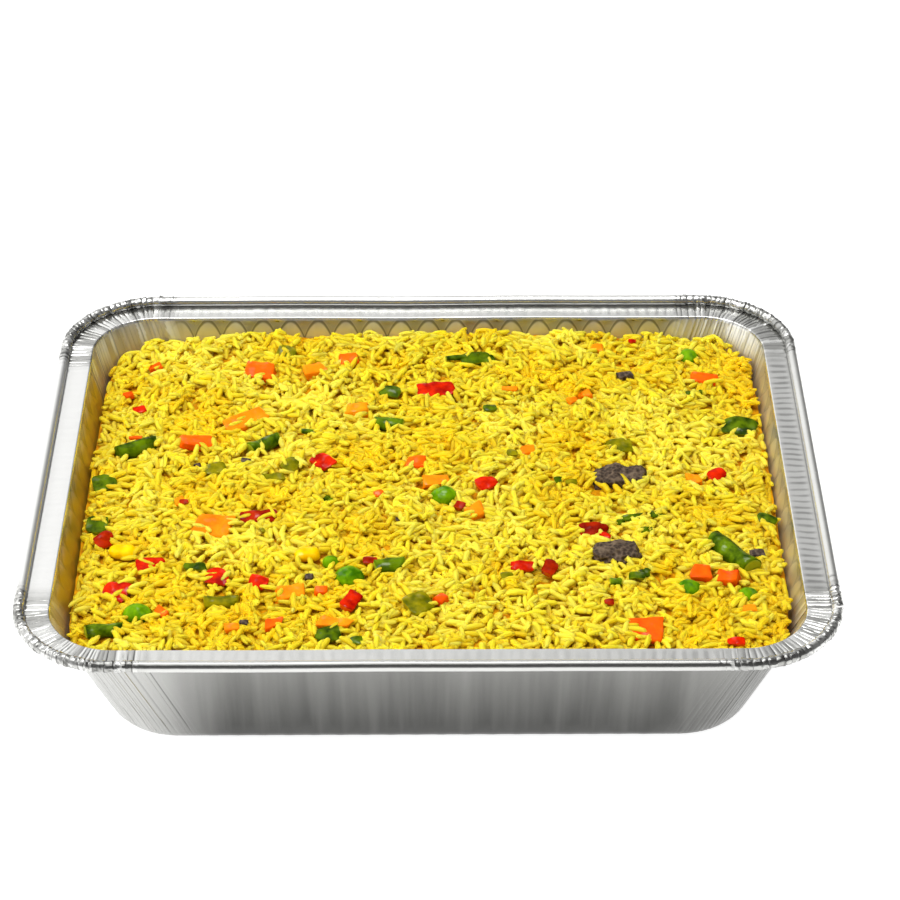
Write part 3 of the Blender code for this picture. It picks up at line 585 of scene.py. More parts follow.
# The rice's surface before its grains, as the CAD has it
rice = {
    "depth": 5.3 * mm, "left": 7.0 * mm, "right": 2.5 * mm, "front": 2.5 * mm, "back": -1.0 * mm,
    "corners": 7.0 * mm, "swell": 0.7 * mm, "swellLength": 48 * mm, "bedDepth": 3.2 * mm,
    "clump": 1.7 * mm, "clumpSize": 12 * mm,
    "patchSize": 30 * mm, "patchy": 1.3,
}


def riceLevel(x, y):
    across = np.clip(x / (tray["length"] / 2 - tray["rimWidth"]), -1, 1)
    away = np.clip(y / (tray["width"] / 2 - tray["rimWidth"]), -1, 1)
    depth = rice["depth"] + np.where(across < 0, rice["left"], rice["right"]) * across ** 6
    depth = depth + np.where(away < 0, rice["front"], rice["back"]) * away ** 4
    depth = depth + rice["corners"] * across ** 6 * away ** 6
    swell = np.sin(x / rice["swellLength"] * 2.1 + 0.6) * np.cos(y / rice["swellLength"] * 2.6 - 0.4)
    return tray["rimHeight"] - depth + rice["swell"] * swell


# How far the inner wall stands in from the rim's outer edge at a height
def wallInset(height):
    share = np.clip((height - 5 * mm) / (tray["rimHeight"] - 6 * mm), 0, 1)
    return tray["footInset"] + (tray["lipInset"] - tray["footInset"]) * share


# Distance outside the inner wall, negative within the tray
def beyondWall(x, y, height):
    inset = wallInset(height)
    radius = tray["innerRadius"]
    dx = np.abs(x) - (tray["length"] / 2 - inset - radius)
    dy = np.abs(y) - (tray["width"] / 2 - inset - radius)
    outside = np.hypot(np.maximum(dx, 0), np.maximum(dy, 0))
    return outside + np.minimum(np.maximum(dx, dy), 0) - radius


# Where the sight line through a pixel of the photograph meets the rice
def placeOnRice(pixelX, pixelY):
    focal = shot["lens"] / shot["sensor"] * shot["pixels"]
    sight = turnToScene @ Vector((pixelX - 450, 450 - pixelY, -focal))
    level = tray["rimHeight"] - rice["depth"]
    for _ in range(4):
        spot = eye + sight * ((level - eye.z) / sight.z)
        level = float(riceLevel(spot.x, spot.y))
    return spot


def shapeBed():
    bpy.ops.mesh.primitive_grid_add(x_subdivisions=150, y_subdivisions=120, size=2)
    piece = bpy.context.active_object
    piece.name = "riceBed"
    for vertex in piece.data.vertices:
        u, v, _ = vertex.co
        # The square becomes a rounded rectangle
        bend = 0.12 * (u * v) ** 4
        x = u * (tray["length"] / 2 - 17.5 * mm) * (1 - bend * 0.48)
        y = v * (tray["width"] / 2 - 17 * mm) * (1 - bend * 0.6)
        bump = noise.noise(Vector((x, y, 0)) / (4 * mm)) * 0.7 * mm
        level = float(riceLevel(x, y)) - rice["bedDepth"] + bump
        inset = float(beyondWall(x, y, level)) + 1.0 * mm
        if inset > 0:
            x -= math.copysign(inset, x) * abs(u) ** 8
            y -= math.copysign(inset, y) * abs(v) ** 8
        vertex.co = (x, y, level)
    bpy.ops.object.mode_set(mode="EDIT")
    bpy.ops.mesh.select_all(action="SELECT")
    bpy.ops.mesh.region_to_loop()
    bpy.ops.mesh.extrude_edges_move(TRANSFORM_OT_translate={"value": (0, 0, -38 * mm)})
    bpy.ops.transform.resize(value=(0.885, 0.855, 1), center_override=(0, 0, 0))
    bpy.ops.mesh.edge_face_add()
    bpy.ops.mesh.select_all(action="SELECT")
    bpy.ops.mesh.normals_make_consistent(inside=False)
    bpy.ops.object.mode_set(mode="OBJECT")
    bpy.ops.object.shade_smooth_by_angle(angle=math.radians(60))
    return piece


deselectAll()
riceBed = shapeBed()
print("rice bed ready")


def roughen(piece, size, amount, seed):
    drift = Vector((seed * 3.1, seed * 1.7, seed * 0.9))
    mesh = piece.data
    shifts = [v.normal * noise.noise(v.co / size + drift) * amount for v in mesh.vertices]
    for vertex, shift in zip(mesh.vertices, shifts):
        vertex.co += shift


def leanCorners(piece, amount, rng):
    pulls = {(a, b, c): Vector([rng.uniform(-amount, amount) for _ in range(3)])
             for a in (-1, 1) for b in (-1, 1) for c in (-1, 1)}
    spans = [max(abs(v.co[i]) for v in piece.data.vertices) for i in range(3)]
    for vertex in piece.data.vertices:
        share = [vertex.co[i] / spans[i] for i in range(3)]
        pull = Vector((0, 0, 0))
        for signs, shift in pulls.items():
            weight = 1.0
            for i in range(3):
                weight *= (1 + signs[i] * share[i]) / 2
            pull += shift * weight
        for i in range(3):
            vertex.co[i] += pull[i] * spans[i] * 2


def diced(size, seed):
    length, width, height = (s * mm for s in size)
    rng = random.Random(seed)
    bpy.ops.mesh.primitive_cube_add(size=1)
    piece = bpy.context.active_object
    bpy.ops.object.mode_set(mode="EDIT")
    bpy.ops.mesh.select_all(action="SELECT")
    bpy.ops.transform.resize(value=(length, width, height))
    bpy.ops.mesh.bevel(offset=min(0.8 * mm, height * 0.16), segments=2, affect="EDGES")
    bpy.ops.mesh.subdivide(number_cuts=3)
    bpy.ops.object.mode_set(mode="OBJECT")
    leanCorners(piece, 0.15, rng)
    roughen(piece, 4.5 * mm, 0.8 * mm, seed)
    roughen(piece, 1.2 * mm, 0.10 * mm, seed + 5)
    return piece


def markCutSide(piece, test):
    layer = piece.data.attributes.new("cutSide", "FLOAT", "POINT")
    layer.data.foreach_set("value", [test(v) for v in piece.data.vertices])


def pepperSlab(size, seed):
    length, width, height = (s * mm for s in size)
    rng = random.Random(seed)
    bpy.ops.mesh.primitive_grid_add(x_subdivisions=14, y_subdivisions=9, size=1)
    piece = bpy.context.active_object
    pulls = [rng.uniform(-0.2, 0.2) for _ in range(6)]
    bendX = rng.uniform(0.10, 0.22)
    bendY = rng.uniform(0.04, 0.16)
    for vertex in piece.data.vertices:
        u, v, _ = vertex.co
        narrow = 1 + pulls[0] * u * 2 + pulls[1] * abs(u)
        skew = pulls[2] * v * 2
        roundOff = 1 - 0.12 * (4 * u * v) ** 2
        x = length * (u * roundOff + skew * 0.2 + pulls[4] * (v * v - 0.1))
        y = width * v * narrow * roundOff + pulls[5] * width * (u * u) * 2
        z = length * bendX * (0.25 - u * u) * 1.3 + width * bendY * (0.25 - v * v) * 2
        vertex.co = (x, y, z)
    giveWall(piece, height * 0.62)
    edge = piece.modifiers.new("edge", "BEVEL")
    edge.width = 0.45 * mm
    edge.segments = 2
    bpy.ops.object.modifier_apply(modifier="edge")
    roughen(piece, 4 * mm, 0.6 * mm, seed)
    markCutSide(piece, lambda v: 0.0 if v.normal.z > 0.35 else 0.8)
    return piece


def roundPea(size, seed):
    length, width, height = (s * mm for s in size)
    bpy.ops.mesh.primitive_uv_sphere_add(segments=28, ring_count=18, radius=0.5)
    piece = bpy.context.active_object
    bpy.ops.object.mode_set(mode="EDIT")
    bpy.ops.mesh.select_all(action="SELECT")
    bpy.ops.transform.resize(value=(length, width, height))
    bpy.ops.object.mode_set(mode="OBJECT")
    roughen(piece, 5 * mm, 0.5 * mm, seed)
    roughen(piece, 1.8 * mm, 0.16 * mm, seed + 3)
    markCutSide(piece, lambda v: 0.0)
    return piece


def cutBean(size, seed):
    length, width, height = (s * mm for s in size)
    rng = random.Random(seed)
    bpy.ops.mesh.primitive_cylinder_add(vertices=20, radius=0.5, depth=1, end_fill_type="NGON")
    piece = bpy.context.active_object
    bpy.ops.object.mode_set(mode="EDIT")
    bpy.ops.mesh.select_all(action="DESELECT")
    bpy.ops.object.mode_set(mode="OBJECT")
    for polygon in piece.data.polygons:
        polygon.select = abs(polygon.normal.z) > 0.9
    bpy.ops.object.mode_set(mode="EDIT")
    bpy.ops.mesh.select_mode(type="FACE")
    bpy.ops.mesh.inset(thickness=0.05)
    bpy.ops.mesh.inset(thickness=0.12)
    bpy.ops.mesh.select_all(action="INVERT")
    bpy.ops.mesh.subdivide(number_cuts=7, quadcorner="INNERVERT")
    bpy.ops.object.mode_set(mode="OBJECT")
    slant = rng.uniform(0.2, 0.55)
    bend = rng.uniform(0.06, 0.14) * rng.choice((-1, 1))
    marks = []
    for vertex in piece.data.vertices:
        across, up, way = vertex.co
        inner = math.hypot(across, up) < 0.44 and abs(way) > 0.49
        marks.append(1.0 if inner else 0.0)
        x = way * length + slant * across * width * way
        if inner:
            x += math.copysign(0.5 * mm, way)
        swell = 1 + 0.06 * math.sin(way * 9 + seed)
        vertex.co = (x, across * width * swell + bend * length * (0.25 - way * way), up * height * swell)
    roughen(piece, 3 * mm, 0.25 * mm, seed)
    layer = piece.data.attributes.new("cutSide", "FLOAT", "POINT")
    layer.data.foreach_set("value", marks)
    return piece


def cornKernel(size, seed):
    length, width, height = (s * mm for s in size)
    bpy.ops.mesh.primitive_uv_sphere_add(segments=24, ring_count=16, radius=0.5)
    piece = bpy.context.active_object
    for vertex in piece.data.vertices:
        x, y, z = vertex.co
        square = 1 + 0.3 * abs(x * y) * 4
        narrow = 1 - 0.45 * (0.5 - x) * 0.8
        dimple = 0.18 * math.exp(-((x * 4) ** 2 + (y * 4) ** 2)) if z > 0 else 0
        vertex.co = (x * length * square, y * width * square * narrow, (z - dimple) * height)
    roughen(piece, 4 * mm, 0.3 * mm, seed)
    markCutSide(piece, lambda v: 0.0)
    return piece


def brownChunk(size, seed):
    length, width, height = (s * mm for s in size)
    bpy.ops.mesh.primitive_ico_sphere_add(subdivisions=5, radius=0.5)
    piece = bpy.context.active_object
    for vertex in piece.data.vertices:
        way = vertex.co.normalized()
        square = min(1.22, 1 / max(abs(way.x), abs(way.y), abs(way.z)) ** 0.5)
        lump = 1 + 0.12 * noise.noise(way * 1.7 + Vector((seed, 0, 0)))
        spot = way * 0.5 * square * lump
        vertex.co = (spot.x * length, spot.y * width, spot.z * height)
    roughen(piece, 5 * mm, 1.0 * mm, seed)
    roughen(piece, 1.6 * mm, 0.5 * mm, seed + 2)
    roughen(piece, 0.8 * mm, 0.2 * mm, seed + 4)
    return piece


# Finish, size in millimetres, turn and tilt in degrees. Each takes its own node's place, in order
vegetables = {
    "carrot": (diced, (
        ("carrot", (11.5, 9.0, 8), -12, 14), ("carrotPale", (9.0, 8.0, 7), 20, 10),
        ("carrot", (8.5, 6.0, 6), 8, 12), ("carrotPale", (17, 8.0, 4.5), 30, 8),
        ("carrot", (15, 6.0, 4.5), -4, 8), ("carrotPale", (14.5, 11, 6), -14, 10),
        ("carrot", (8.5, 7.5, 7), -10, 12), ("carrotPale", (12, 5.5, 4), 6, 6),
        ("carrotPale", (8.0, 7.0, 6), 30, 8), ("carrot", (11, 7.0, 6), -8, 10),
        ("carrot", (9.5, 8.0, 7), -10, 12), ("carrot", (7.5, 6.5, 6), -8, 10),
        ("carrot", (13, 10, 8), -6, 14), ("carrotPale", (12, 7.0, 5), 14, 8),
        ("carrotPale", (10.5, 7.0, 5), 12, 10))),
    "red_pepper": (pepperSlab, (
        ("red", (17, 9.0, 4.0), 6, 10), ("red", (10.5, 8.0, 4.0), -52, 12),
        ("red", (9.0, 7.0, 3.5), 28, 12), ("darkRed", (16, 6.5, 3.5), 4, 14),
        ("darkRed", (9.0, 7.5, 3.5), 34, 16), ("red", (12, 6.5, 3.5), 14, 12),
        ("red", (9.5, 8.5, 4.0), -10, 12), ("red", (11, 9.0, 4.0), -18, 14),
        ("red", (8.5, 6.5, 3.5), -24, 10), ("red", (11, 6.5, 4.0), 66, 12), ("red", (10, 5.5, 3.5), -4, 10),
        ("darkRed", (9.0, 6.0, 3.5), 70, 12), ("darkRed", (12, 7.0, 3.5), 12, 12),
        ("red", (8.5, 6.5, 3.5), 40, 10))),
    "pea": (roundPea, (
        ("pea", (12, 10.5, 9.5), -10, 0), ("pea", (7.0, 6.5, 6.5), 0, 0), ("pea", (12, 9.0, 8.5), -6, 0),
        ("pea", (11, 9.0, 8.5), 0, 0), ("pea", (9.5, 8.5, 8), 0, 0), ("pea", (8.5, 7.5, 7), 0, 0),
        ("pea", (9.5, 9.0, 8), 0, 0))),
    "bean": (cutBean, (
        ("bean", (17, 7.5, 7), 30, 4), ("bean", (14, 6.0, 5.5), 34, 6), ("bean", (12, 7.5, 6), 8, 0),
        ("bean", (12, 6.5, 5.5), -8, 4), ("bean", (24, 8.5, 8), -54, 3), ("bean", (14, 6.0, 5.5), 6, 4),
        ("olive", (13, 6.0, 5), 4, 0))),
    "green_pepper": (pepperSlab, (
        ("olive", (9.0, 8.0, 4.0), -14, 16), ("green", (15, 6.5, 4.0), 8, 14),
        ("green", (11, 6.0, 3.5), -8, 14), ("olive", (11, 11, 4.5), 34, 14),
        ("green", (15, 10, 4.5), -18, 16), ("green", (10, 9.0, 4.0), 12, 10),
        ("green", (9.0, 9.0, 4.0), 0, 10), ("olive", (9.5, 7.0, 4.0), 62, 12),
        ("olive", (9.5, 7.0, 3.5), 10, 10), ("olive", (12, 8.0, 4.0), 8, 10),
        ("green", (10, 8.0, 4.0), 10, 10))),
    "corn": (cornKernel, (
        ("corn", (11, 8.5, 6), -10, 8), ("corn", (10, 8.0, 6), 12, 6))),
    "brown_chunk": (brownChunk, (
        ("brown", (24, 13, 8), 4, 4), ("brown", (19, 12, 7), 6, 6))),
}
slots = {"carrotPale": "carrot_pale", "darkRed": "red"}


def spanOf(piece):
    spots = [v.co for v in piece.data.vertices]
    return [min(s[i] for s in spots) for i in range(3)], [max(s[i] for s in spots) for i in range(3)]


def settle(piece, name, place, turn, tilt):
    piece.name = name
    turned = Euler((math.radians(tilt), 0, math.radians(turn))).to_matrix().to_4x4()
    piece.data.transform(turned)
    low, high = spanOf(piece)
    shift = [place[0] - (low[0] + high[0]) / 2, place[1] - (low[1] + high[1]) / 2, place[2] - high[2]]
    piece.data.transform(Matrix.Translation(shift))
    piece.data.update()
    for polygon in piece.data.polygons:
        polygon.use_smooth = True


toppings = []
for kind, (shape, rows) in vegetables.items():
    for number, (finish, size, turn, tilt) in enumerate(rows, 1):
        deselectAll()
        node = f"{kind}_{number}"
        low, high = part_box(node)
        piece = shape(size, len(toppings) + 1)
        first, *others = node.split("_")
        name = first + "".join(part.capitalize() for part in others)
        settle(piece, name, ((low[0] + high[0]) / 2, (low[1] + high[1]) / 2, high[2]), turn, tilt)
        rideAndReplace(piece, finishes[finish], slots.get(finish, finish), node)
        toppings.append(piece)
print("vegetables", len(toppings))


# Grains laid one by one on a height map, each resting on what is under it
pile = {
    "cell": 0.5 * mm,
    "length": 7.6 * mm,
    "lengthSpread": 1.2 * mm,
    "shortest": 5.8 * mm,
    "longest": 11 * mm,
    "brokenLengths": (4.5, 6.5),
    "radius": 1.3 * mm,
    "plumpness": (0.82, 1.16),
    "flatness": 0.84,
    "combed": 0.3,
    "nestle": 0.8,
    "steepest": math.tan(math.radians(48)),
    "lean": 0.26,
    "under": 5200,
    "most": 16200,
    "tries": 90000,
    "proud": 1.7 * mm,
    "overTopping": 1.5 * mm,
    "clearing": 5 * mm,
    "sides": 6,
    "broken": 0.12,
    "templates": 10,
    # Painted shade in the gaps and near the left and right ends
    "shadeFrom": 0.5 * mm,
    "shadeDepth": 2.0 * mm,
    "edgeFrom": 124 * mm,
    "edgeWidth": 16 * mm,
    "edgeShade": 0.35,
}
reachX, reachY = tray["length"] / 2 - 10 * mm, tray["width"] / 2 - 10 * mm
gridX = np.arange(-reachX, reachX, pile["cell"])
gridY = np.arange(-reachY, reachY, pile["cell"])
meshX, meshY = np.meshgrid(gridX, gridY)
targetLevel = riceLevel(meshX, meshY)
heights = targetLevel - rice["bedDepth"]
covered = np.zeros(heights.shape, bool)
# Cells close to a vegetable, where the heap stays low enough to show it
nearTopping = np.zeros(heights.shape, bool)
clearing = pile["clearing"]
for piece in toppings:
    low, high = spanOf(piece)
    nearTopping |= ((meshX > low[0] - clearing) & (meshX < high[0] + clearing)
                    & (meshY > low[1] - clearing) & (meshY < high[1] + clearing))


def cellOf(x, y):
    return int((y + reachY) / pile["cell"]), int((x + reachX) / pile["cell"])


def stampTopping(piece):
    tree = BVHTree.FromPolygons([v.co for v in piece.data.vertices],
                                [p.vertices for p in piece.data.polygons])
    low, high = spanOf(piece)
    firstLine, firstColumn = cellOf(low[0], low[1])
    lastLine, lastColumn = cellOf(high[0], high[1])
    for j in range(max(0, firstLine), min(len(gridY), lastLine + 2)):
        for i in range(max(0, firstColumn), min(len(gridX), lastColumn + 2)):
            hit = tree.ray_cast(Vector((gridX[i], gridY[j], 0.1)), Vector((0, 0, -1)))[0]
            if hit and hit.z > heights[j, i]:
                heights[j, i] = hit.z
                covered[j, i] = hit.z > targetLevel[j, i] - 1.0 * mm


def layGrains():
    rng = random.Random(11)
    samples = np.linspace(-0.42, 0.42, 9)
    grains = []
    stamped = False
    for attempt in range(pile["tries"]):
        if len(grains) >= pile["most"]:
            break
        if not stamped and len(grains) >= pile["under"]:
            stamped = True
            for piece in toppings:
                stampTopping(piece)
        x, y = rng.uniform(-reachX, reachX), rng.uniform(-reachY, reachY)
        if rng.random() < pile["broken"]:
            length = rng.uniform(*pile["brokenLengths"]) * mm
        else:
            length = rng.gauss(pile["length"], pile["lengthSpread"])
            length = min(pile["longest"], max(pile["shortest"], length))
        radius = pile["radius"] * rng.uniform(*pile["plumpness"])
        if rng.random() < pile["combed"]:
            turn = 3 * noise.noise(Vector((x, y, 0)) / (26 * mm)) * math.pi + rng.gauss(0, 0.3)
        else:
            turn = rng.uniform(0, math.pi)
        level = float(riceLevel(x, y))
        if beyondWall(x, y, level) > -1.6 * mm:
            continue
        clump = noise.noise(Vector((x, y, 0)) / rice["clumpSize"]) * rice["clump"] * 2
        line, column = cellOf(x, y)
        level += min(clump, -0.4 * mm) if nearTopping[line, column] else clump
        wayX, wayY = math.cos(turn), math.sin(turn)
        end = length * 0.48
        if max(beyondWall(x + wayX * end, y + wayY * end, level),
               beyondWall(x - wayX * end, y - wayY * end, level)) > -1.2 * mm:
            continue
        columns = ((x + wayX * samples * length + reachX) / pile["cell"]).astype(int)
        lines = ((y + wayY * samples * length + reachY) / pile["cell"]).astype(int)
        below = heights[lines, columns]
        onTopping = 0
        if stamped:
            onTopping = int(covered[lines, columns].sum())
            if onTopping > rng.choices((1, 2, 4, 9), (0.3, 0.35, 0.23, 0.12))[0]:
                continue
        best, slope = below[4], (below[6] - below[2]) / (samples[6] - samples[2]) / length
        for i in range(4):
            for j in range(5, 9):
                share = -samples[i] / (samples[j] - samples[i])
                middle = below[i] + (below[j] - below[i]) * share
                if middle > best:
                    best = middle
                    slope = (below[j] - below[i]) / ((samples[j] - samples[i]) * length)
        slope = max(-pile["steepest"], min(pile["steepest"], slope + rng.gauss(0, pile["lean"])))
        centre = best + radius * pile["flatness"] * (1 - 2 * pile["nestle"])
        topSide = centre + radius * pile["flatness"] + abs(slope) * length * 0.35
        allowed = pile["proud"] * rng.uniform(0.2, 1.0) + (pile["overTopping"] if onTopping else 0)
        if topSide > level + allowed:
            continue
        halfSpan = int((length / 2 + radius) / pile["cell"]) + 1
        lowX, highX = max(0, column - halfSpan), min(len(gridX), column + halfSpan + 1)
        lowY, highY = max(0, line - halfSpan), min(len(gridY), line + halfSpan + 1)
        offX = meshX[lowY:highY, lowX:highX] - x
        offY = meshY[lowY:highY, lowX:highX] - y
        alongGrain = offX * wayX + offY * wayY
        across = offY * wayX - offX * wayY
        inside = (np.abs(across) < radius) & (np.abs(alongGrain) < length / 2)
        shape = np.sqrt(np.maximum(radius ** 2 - across ** 2, 0)) * pile["flatness"]
        taper = np.sqrt(np.clip(1 - (2 * alongGrain / length) ** 4, 0, 1))
        topOf = centre + slope * alongGrain + shape * taper
        window = heights[lowY:highY, lowX:highX]
        window[inside] = np.maximum(window[inside], topOf[inside])
        patch = noise.noise(Vector((x, y, 40 * mm)) / rice["patchSize"])
        hue = patch * rice["patchy"] + rng.gauss(0, 0.34)
        grains.append((x, y, centre, turn, math.atan(slope), length, radius, rng.uniform(-math.pi, math.pi),
                       rng.random(), hue))
    print("grains", len(grains), "from", attempt + 1, "tries")
    return grains


# A few grain shapes: a slim tapering body, slightly bowed and flattened
def grainShape(rng):
    shares = (-0.46, -0.31, 0.0, 0.31, 0.46)
    thick = (0.52, 0.87, 1.0, 0.87, 0.52)
    bow = rng.uniform(0.02, 0.15)
    fat = rng.uniform(-0.08, 0.08)
    points = [(-0.5, 0.0, 0.0)]
    for share, scale in zip(shares, thick):
        side = bow * (0.25 - share * share) * 4
        scale *= 1 + fat * share * 2
        for step in range(pile["sides"]):
            angle = 2 * math.pi * step / pile["sides"]
            points.append((share, side, 0.0, scale * math.cos(angle), scale * math.sin(angle)))
    points.append((0.5, 0.0, 0.0))
    axis = np.array([(p[0], p[1], 0.0) for p in points])
    rim = np.array([(0.0, *p[3:]) if len(p) == 5 else (0.0, 0.0, 0.0) for p in points])
    return axis, rim


def grainFaces():
    sides = pile["sides"]
    faces = []
    for step in range(sides):
        faces.append((0, 1 + (step + 1) % sides, 1 + step))
    for ring in range(4):
        first = 1 + ring * sides
        for step in range(sides):
            a, b = first + step, first + (step + 1) % sides
            faces.append((a, b, b + sides))
            faces.append((a, b + sides, a + sides))
    last = 1 + 5 * sides
    for step in range(sides):
        faces.append((last, last - sides + step, last - sides + (step + 1) % sides))
    return np.array(faces)


def joinGrains(name, grains, shapes, faces):
    points, facts = [], []
    for x, y, z, turn, lean, length, radius, roll, chance, _ in grains:
        axis, rim = shapes[int(chance * 977) % len(shapes)]
        body = axis * (length, length * 0.55, 0)
        body = body + rim * (0, radius, radius * pile["flatness"])
        c, s = math.cos(roll * 0.25), math.sin(roll * 0.25)
        rolled = body @ np.array(((1, 0, 0), (0, c, s), (0, -s, c)))
        c, s = math.cos(lean), math.sin(lean)
        leaned = rolled @ np.array(((c, 0, s), (0, 1, 0), (-s, 0, c)))
        c, s = math.cos(turn), math.sin(turn)
        points.append(leaned @ np.array(((c, s, 0), (-s, c, 0), (0, 0, 1))) + (x, y, z))
        fact = np.ones((len(axis), 4))
        fact[:, 0] = (chance * 7919) % 1
        fact[:, 1] = (np.abs(axis[:, 0]) * 2) ** 3
        facts.append(fact)
    size = len(shapes[0][0])
    points, facts = np.stack(points), np.stack(facts)
    # Grains whose bodies would run through the wall are left out
    within = beyondWall(points[..., 0], points[..., 1], points[..., 2]).max(axis=1) < -0.7 * mm
    count = int(within.sum())
    points, facts = points[within].reshape(-1, 3), facts[within].reshape(-1, 4)
    columns = np.clip(((points[:, 0] + reachX) / pile["cell"]).astype(int), 0, len(gridX) - 1)
    lines = np.clip(((points[:, 1] + reachY) / pile["cell"]).astype(int), 0, len(gridY) - 1)
    # Painted shade: grains below the heap's mean height, and those near the left and right ends, turn a
    # darker orange
    below = heapLevel[lines, columns] + pile["shadeFrom"] - points[:, 2]
    sunken = np.clip(below / pile["shadeDepth"], 0, 1)
    nearSide = np.clip((np.abs(points[:, 0]) - pile["edgeFrom"]) / pile["edgeWidth"], 0, 1)
    facts[:, 2] = np.clip(sunken + nearSide * pile["edgeShade"], 0, 1)
    allFaces = (faces[None] + (np.arange(count) * size)[:, None, None]).reshape(-1, 3)
    mesh = bpy.data.meshes.new(name)
    mesh.vertices.add(len(points))
    mesh.vertices.foreach_set("co", points.astype(np.float32).reshape(-1))
    mesh.loops.add(allFaces.size)
    mesh.loops.foreach_set("vertex_index", allFaces.astype(np.int32).reshape(-1))
    mesh.polygons.add(len(allFaces))
    mesh.polygons.foreach_set("loop_start", np.arange(0, allFaces.size, 3, dtype=np.int32))
    mesh.polygons.foreach_set("use_smooth", np.ones(len(allFaces), bool))
    mesh.update(calc_edges=True)
    mesh.validate()
    layer = mesh.attributes.new("grainFacts", "FLOAT_COLOR", "POINT")
    layer.data.foreach_set("color", facts.astype(np.float32).reshape(-1))
    piece = bpy.data.objects.new(name, mesh)
    bpy.context.scene.collection.objects.link(piece)
    return piece


# Mean height of the heap round each cell
def smoothHeap(reach):
    steps = range(-reach, reach + 1)
    total = sum(np.roll(heights, step, axis=0) for step in steps)
    return sum(np.roll(total, step, axis=1) for step in steps) / len(steps) ** 2


allGrains = layGrains()
heapLevel = smoothHeap(6)
shapeRng = random.Random(5)
shapes = [grainShape(shapeRng) for _ in range(pile["templates"])]
faces = grainFaces()
rideAndReplace(riceBed, finishes["riceBed"], "rice", "rice")
byHue = sorted(allGrains, key=lambda grain: grain[9])
share = len(byHue) / len(grainTones)
riceFaces = len(riceBed.data.polygons)
for index, (kind, tones) in enumerate(grainTones.items()):
    chosen = byHue[round(index * share):round((index + 1) * share)]
    piece = joinGrains(kind, chosen, shapes, faces)
    rideAndReplace(piece, riceFinish(kind, *tones), "rice", "rice")
    riceFaces += len(piece.data.polygons)
print("rice", riceFaces, "faces")


# A scrap of herb leaf: thin, wavy, uneven at its edge
def leafScrap(size, seed):
    length, width, height = (s * mm for s in size)
    bpy.ops.mesh.primitive_grid_add(x_subdivisions=10, y_subdivisions=7, size=1)
    piece = bpy.context.active_object
    drift = Vector((seed * 1.9, seed * 0.7, 0))
    for vertex in piece.data.vertices:
        u, v, _ = vertex.co
        edge = 1 + 0.5 * noise.noise(Vector((u, v, 0)) * 3 + drift)
        x, y = length * u * edge, width * v * edge * (1 - 1.2 * u * u)
        vertex.co = (x, y, height * (noise.noise(Vector((u, v, 2)) * 2.4 + drift) + 0.5))
    giveWall(piece, 0.35 * mm)
    markCutSide(piece, lambda v: 0.0)
    return piece


# Small things on the grains: where each shows in the photograph, size in millimetres, turn
bits = {
    "carrotBits": ("carrot", diced, (
        (156, 368, 5.5, 4, 3, 20), (129, 397, 4.5, 3, 2.5, 40), (136, 439, 5, 2, 2, 4),
        (321, 592, 5, 4, 3, 0), (161, 611, 6, 4, 3, -30), (274, 624, 6.5, 5, 3.5, 10),
        (441, 601, 5, 4.5, 3.5, 40), (379, 495, 4, 3, 2.5, 20))),
    "carrotPaleBits": ("carrotPale", diced, (
        (585, 394, 5.5, 4.5, 3.5, 20), (573, 401, 5, 3.5, 2.5, 30), (510, 392, 6, 3, 2, 0),
        (528, 450, 6, 5, 3, 10), (694, 481, 6, 5, 3.5, 15), (335, 623, 13, 5, 3, -12),
        (232, 630, 6, 4, 2.5, 0), (750, 608, 5, 3, 2, 0), (597, 349, 6, 4, 2.5, 0),
        (179, 501, 5, 4, 2.5, 30))),
    "redPepperBits": ("red", pepperSlab, (
        (140, 410, 5.5, 4, 2.5, 10), (632, 344, 3.5, 2.5, 2, 0), (736, 643, 7, 4, 2.5, 0),
        (605, 536, 5, 2.5, 2, -40))),
    "darkRedPepperBits": ("darkRed", pepperSlab, (
        (460, 507, 4.5, 4, 2.5, 60), (370, 563, 6, 4, 2.5, 0), (609, 604, 4, 3, 2, 0),
        (184, 502, 3.5, 2.5, 2, 10))),
    "greenPepperBits": ("green", pepperSlab, (
        (195, 566, 9, 4, 2.5, 0), (490, 409, 6, 4, 2.5, 8), (356, 641, 5, 4, 2.5, 0),
        (769, 520, 9, 5, 3, -24), (637, 579, 7, 4, 2, 0), (559, 480, 4, 3, 2, 10))),
    "beanBits": ("bean", cutBean, (
        (691, 392, 9, 3, 2.5, 8), (462, 359, 14, 2.2, 2, 9), (310, 431, 6.5, 2.5, 2, -10),
        (616, 582, 4, 3.5, 2.5, 0), (329, 498, 3.5, 3, 2, 40))),
    "olivePepperBits": ("olive", pepperSlab, (
        (273, 478, 10, 4, 2.5, 4), (512, 454, 4.5, 4, 3, 0), (571, 483, 5, 3, 2, 0),
        (507, 580, 5, 3.5, 2, 10), (262, 530, 3.5, 2, 1.5, -60))),
    "herbFlecks": ("green", leafScrap, (
        (658, 514, 6, 4.5, 1.6, 30), (632, 519, 7.5, 3.5, 1.6, 10), (621, 521, 4, 3, 1.2, 0),
        (646, 530, 5, 3, 1.2, 20), (326, 495, 4, 3, 1.2, 0), (643, 574, 6, 4, 1.4, 0))),
    "brownFlecks": ("brown", diced, (
        (197, 463, 3, 2, 1.5, 0), (246, 463, 4, 3, 2, 0), (244, 625, 3, 2.5, 2, 0), (309, 576, 3, 3, 2, 0),
        (398, 518, 2.5, 2, 1.5, 0), (504, 576, 2.5, 2, 1.5, 0), (625, 377, 7, 4, 3, 10),
        (757, 554, 6, 3.5, 2.5, 0))),
}


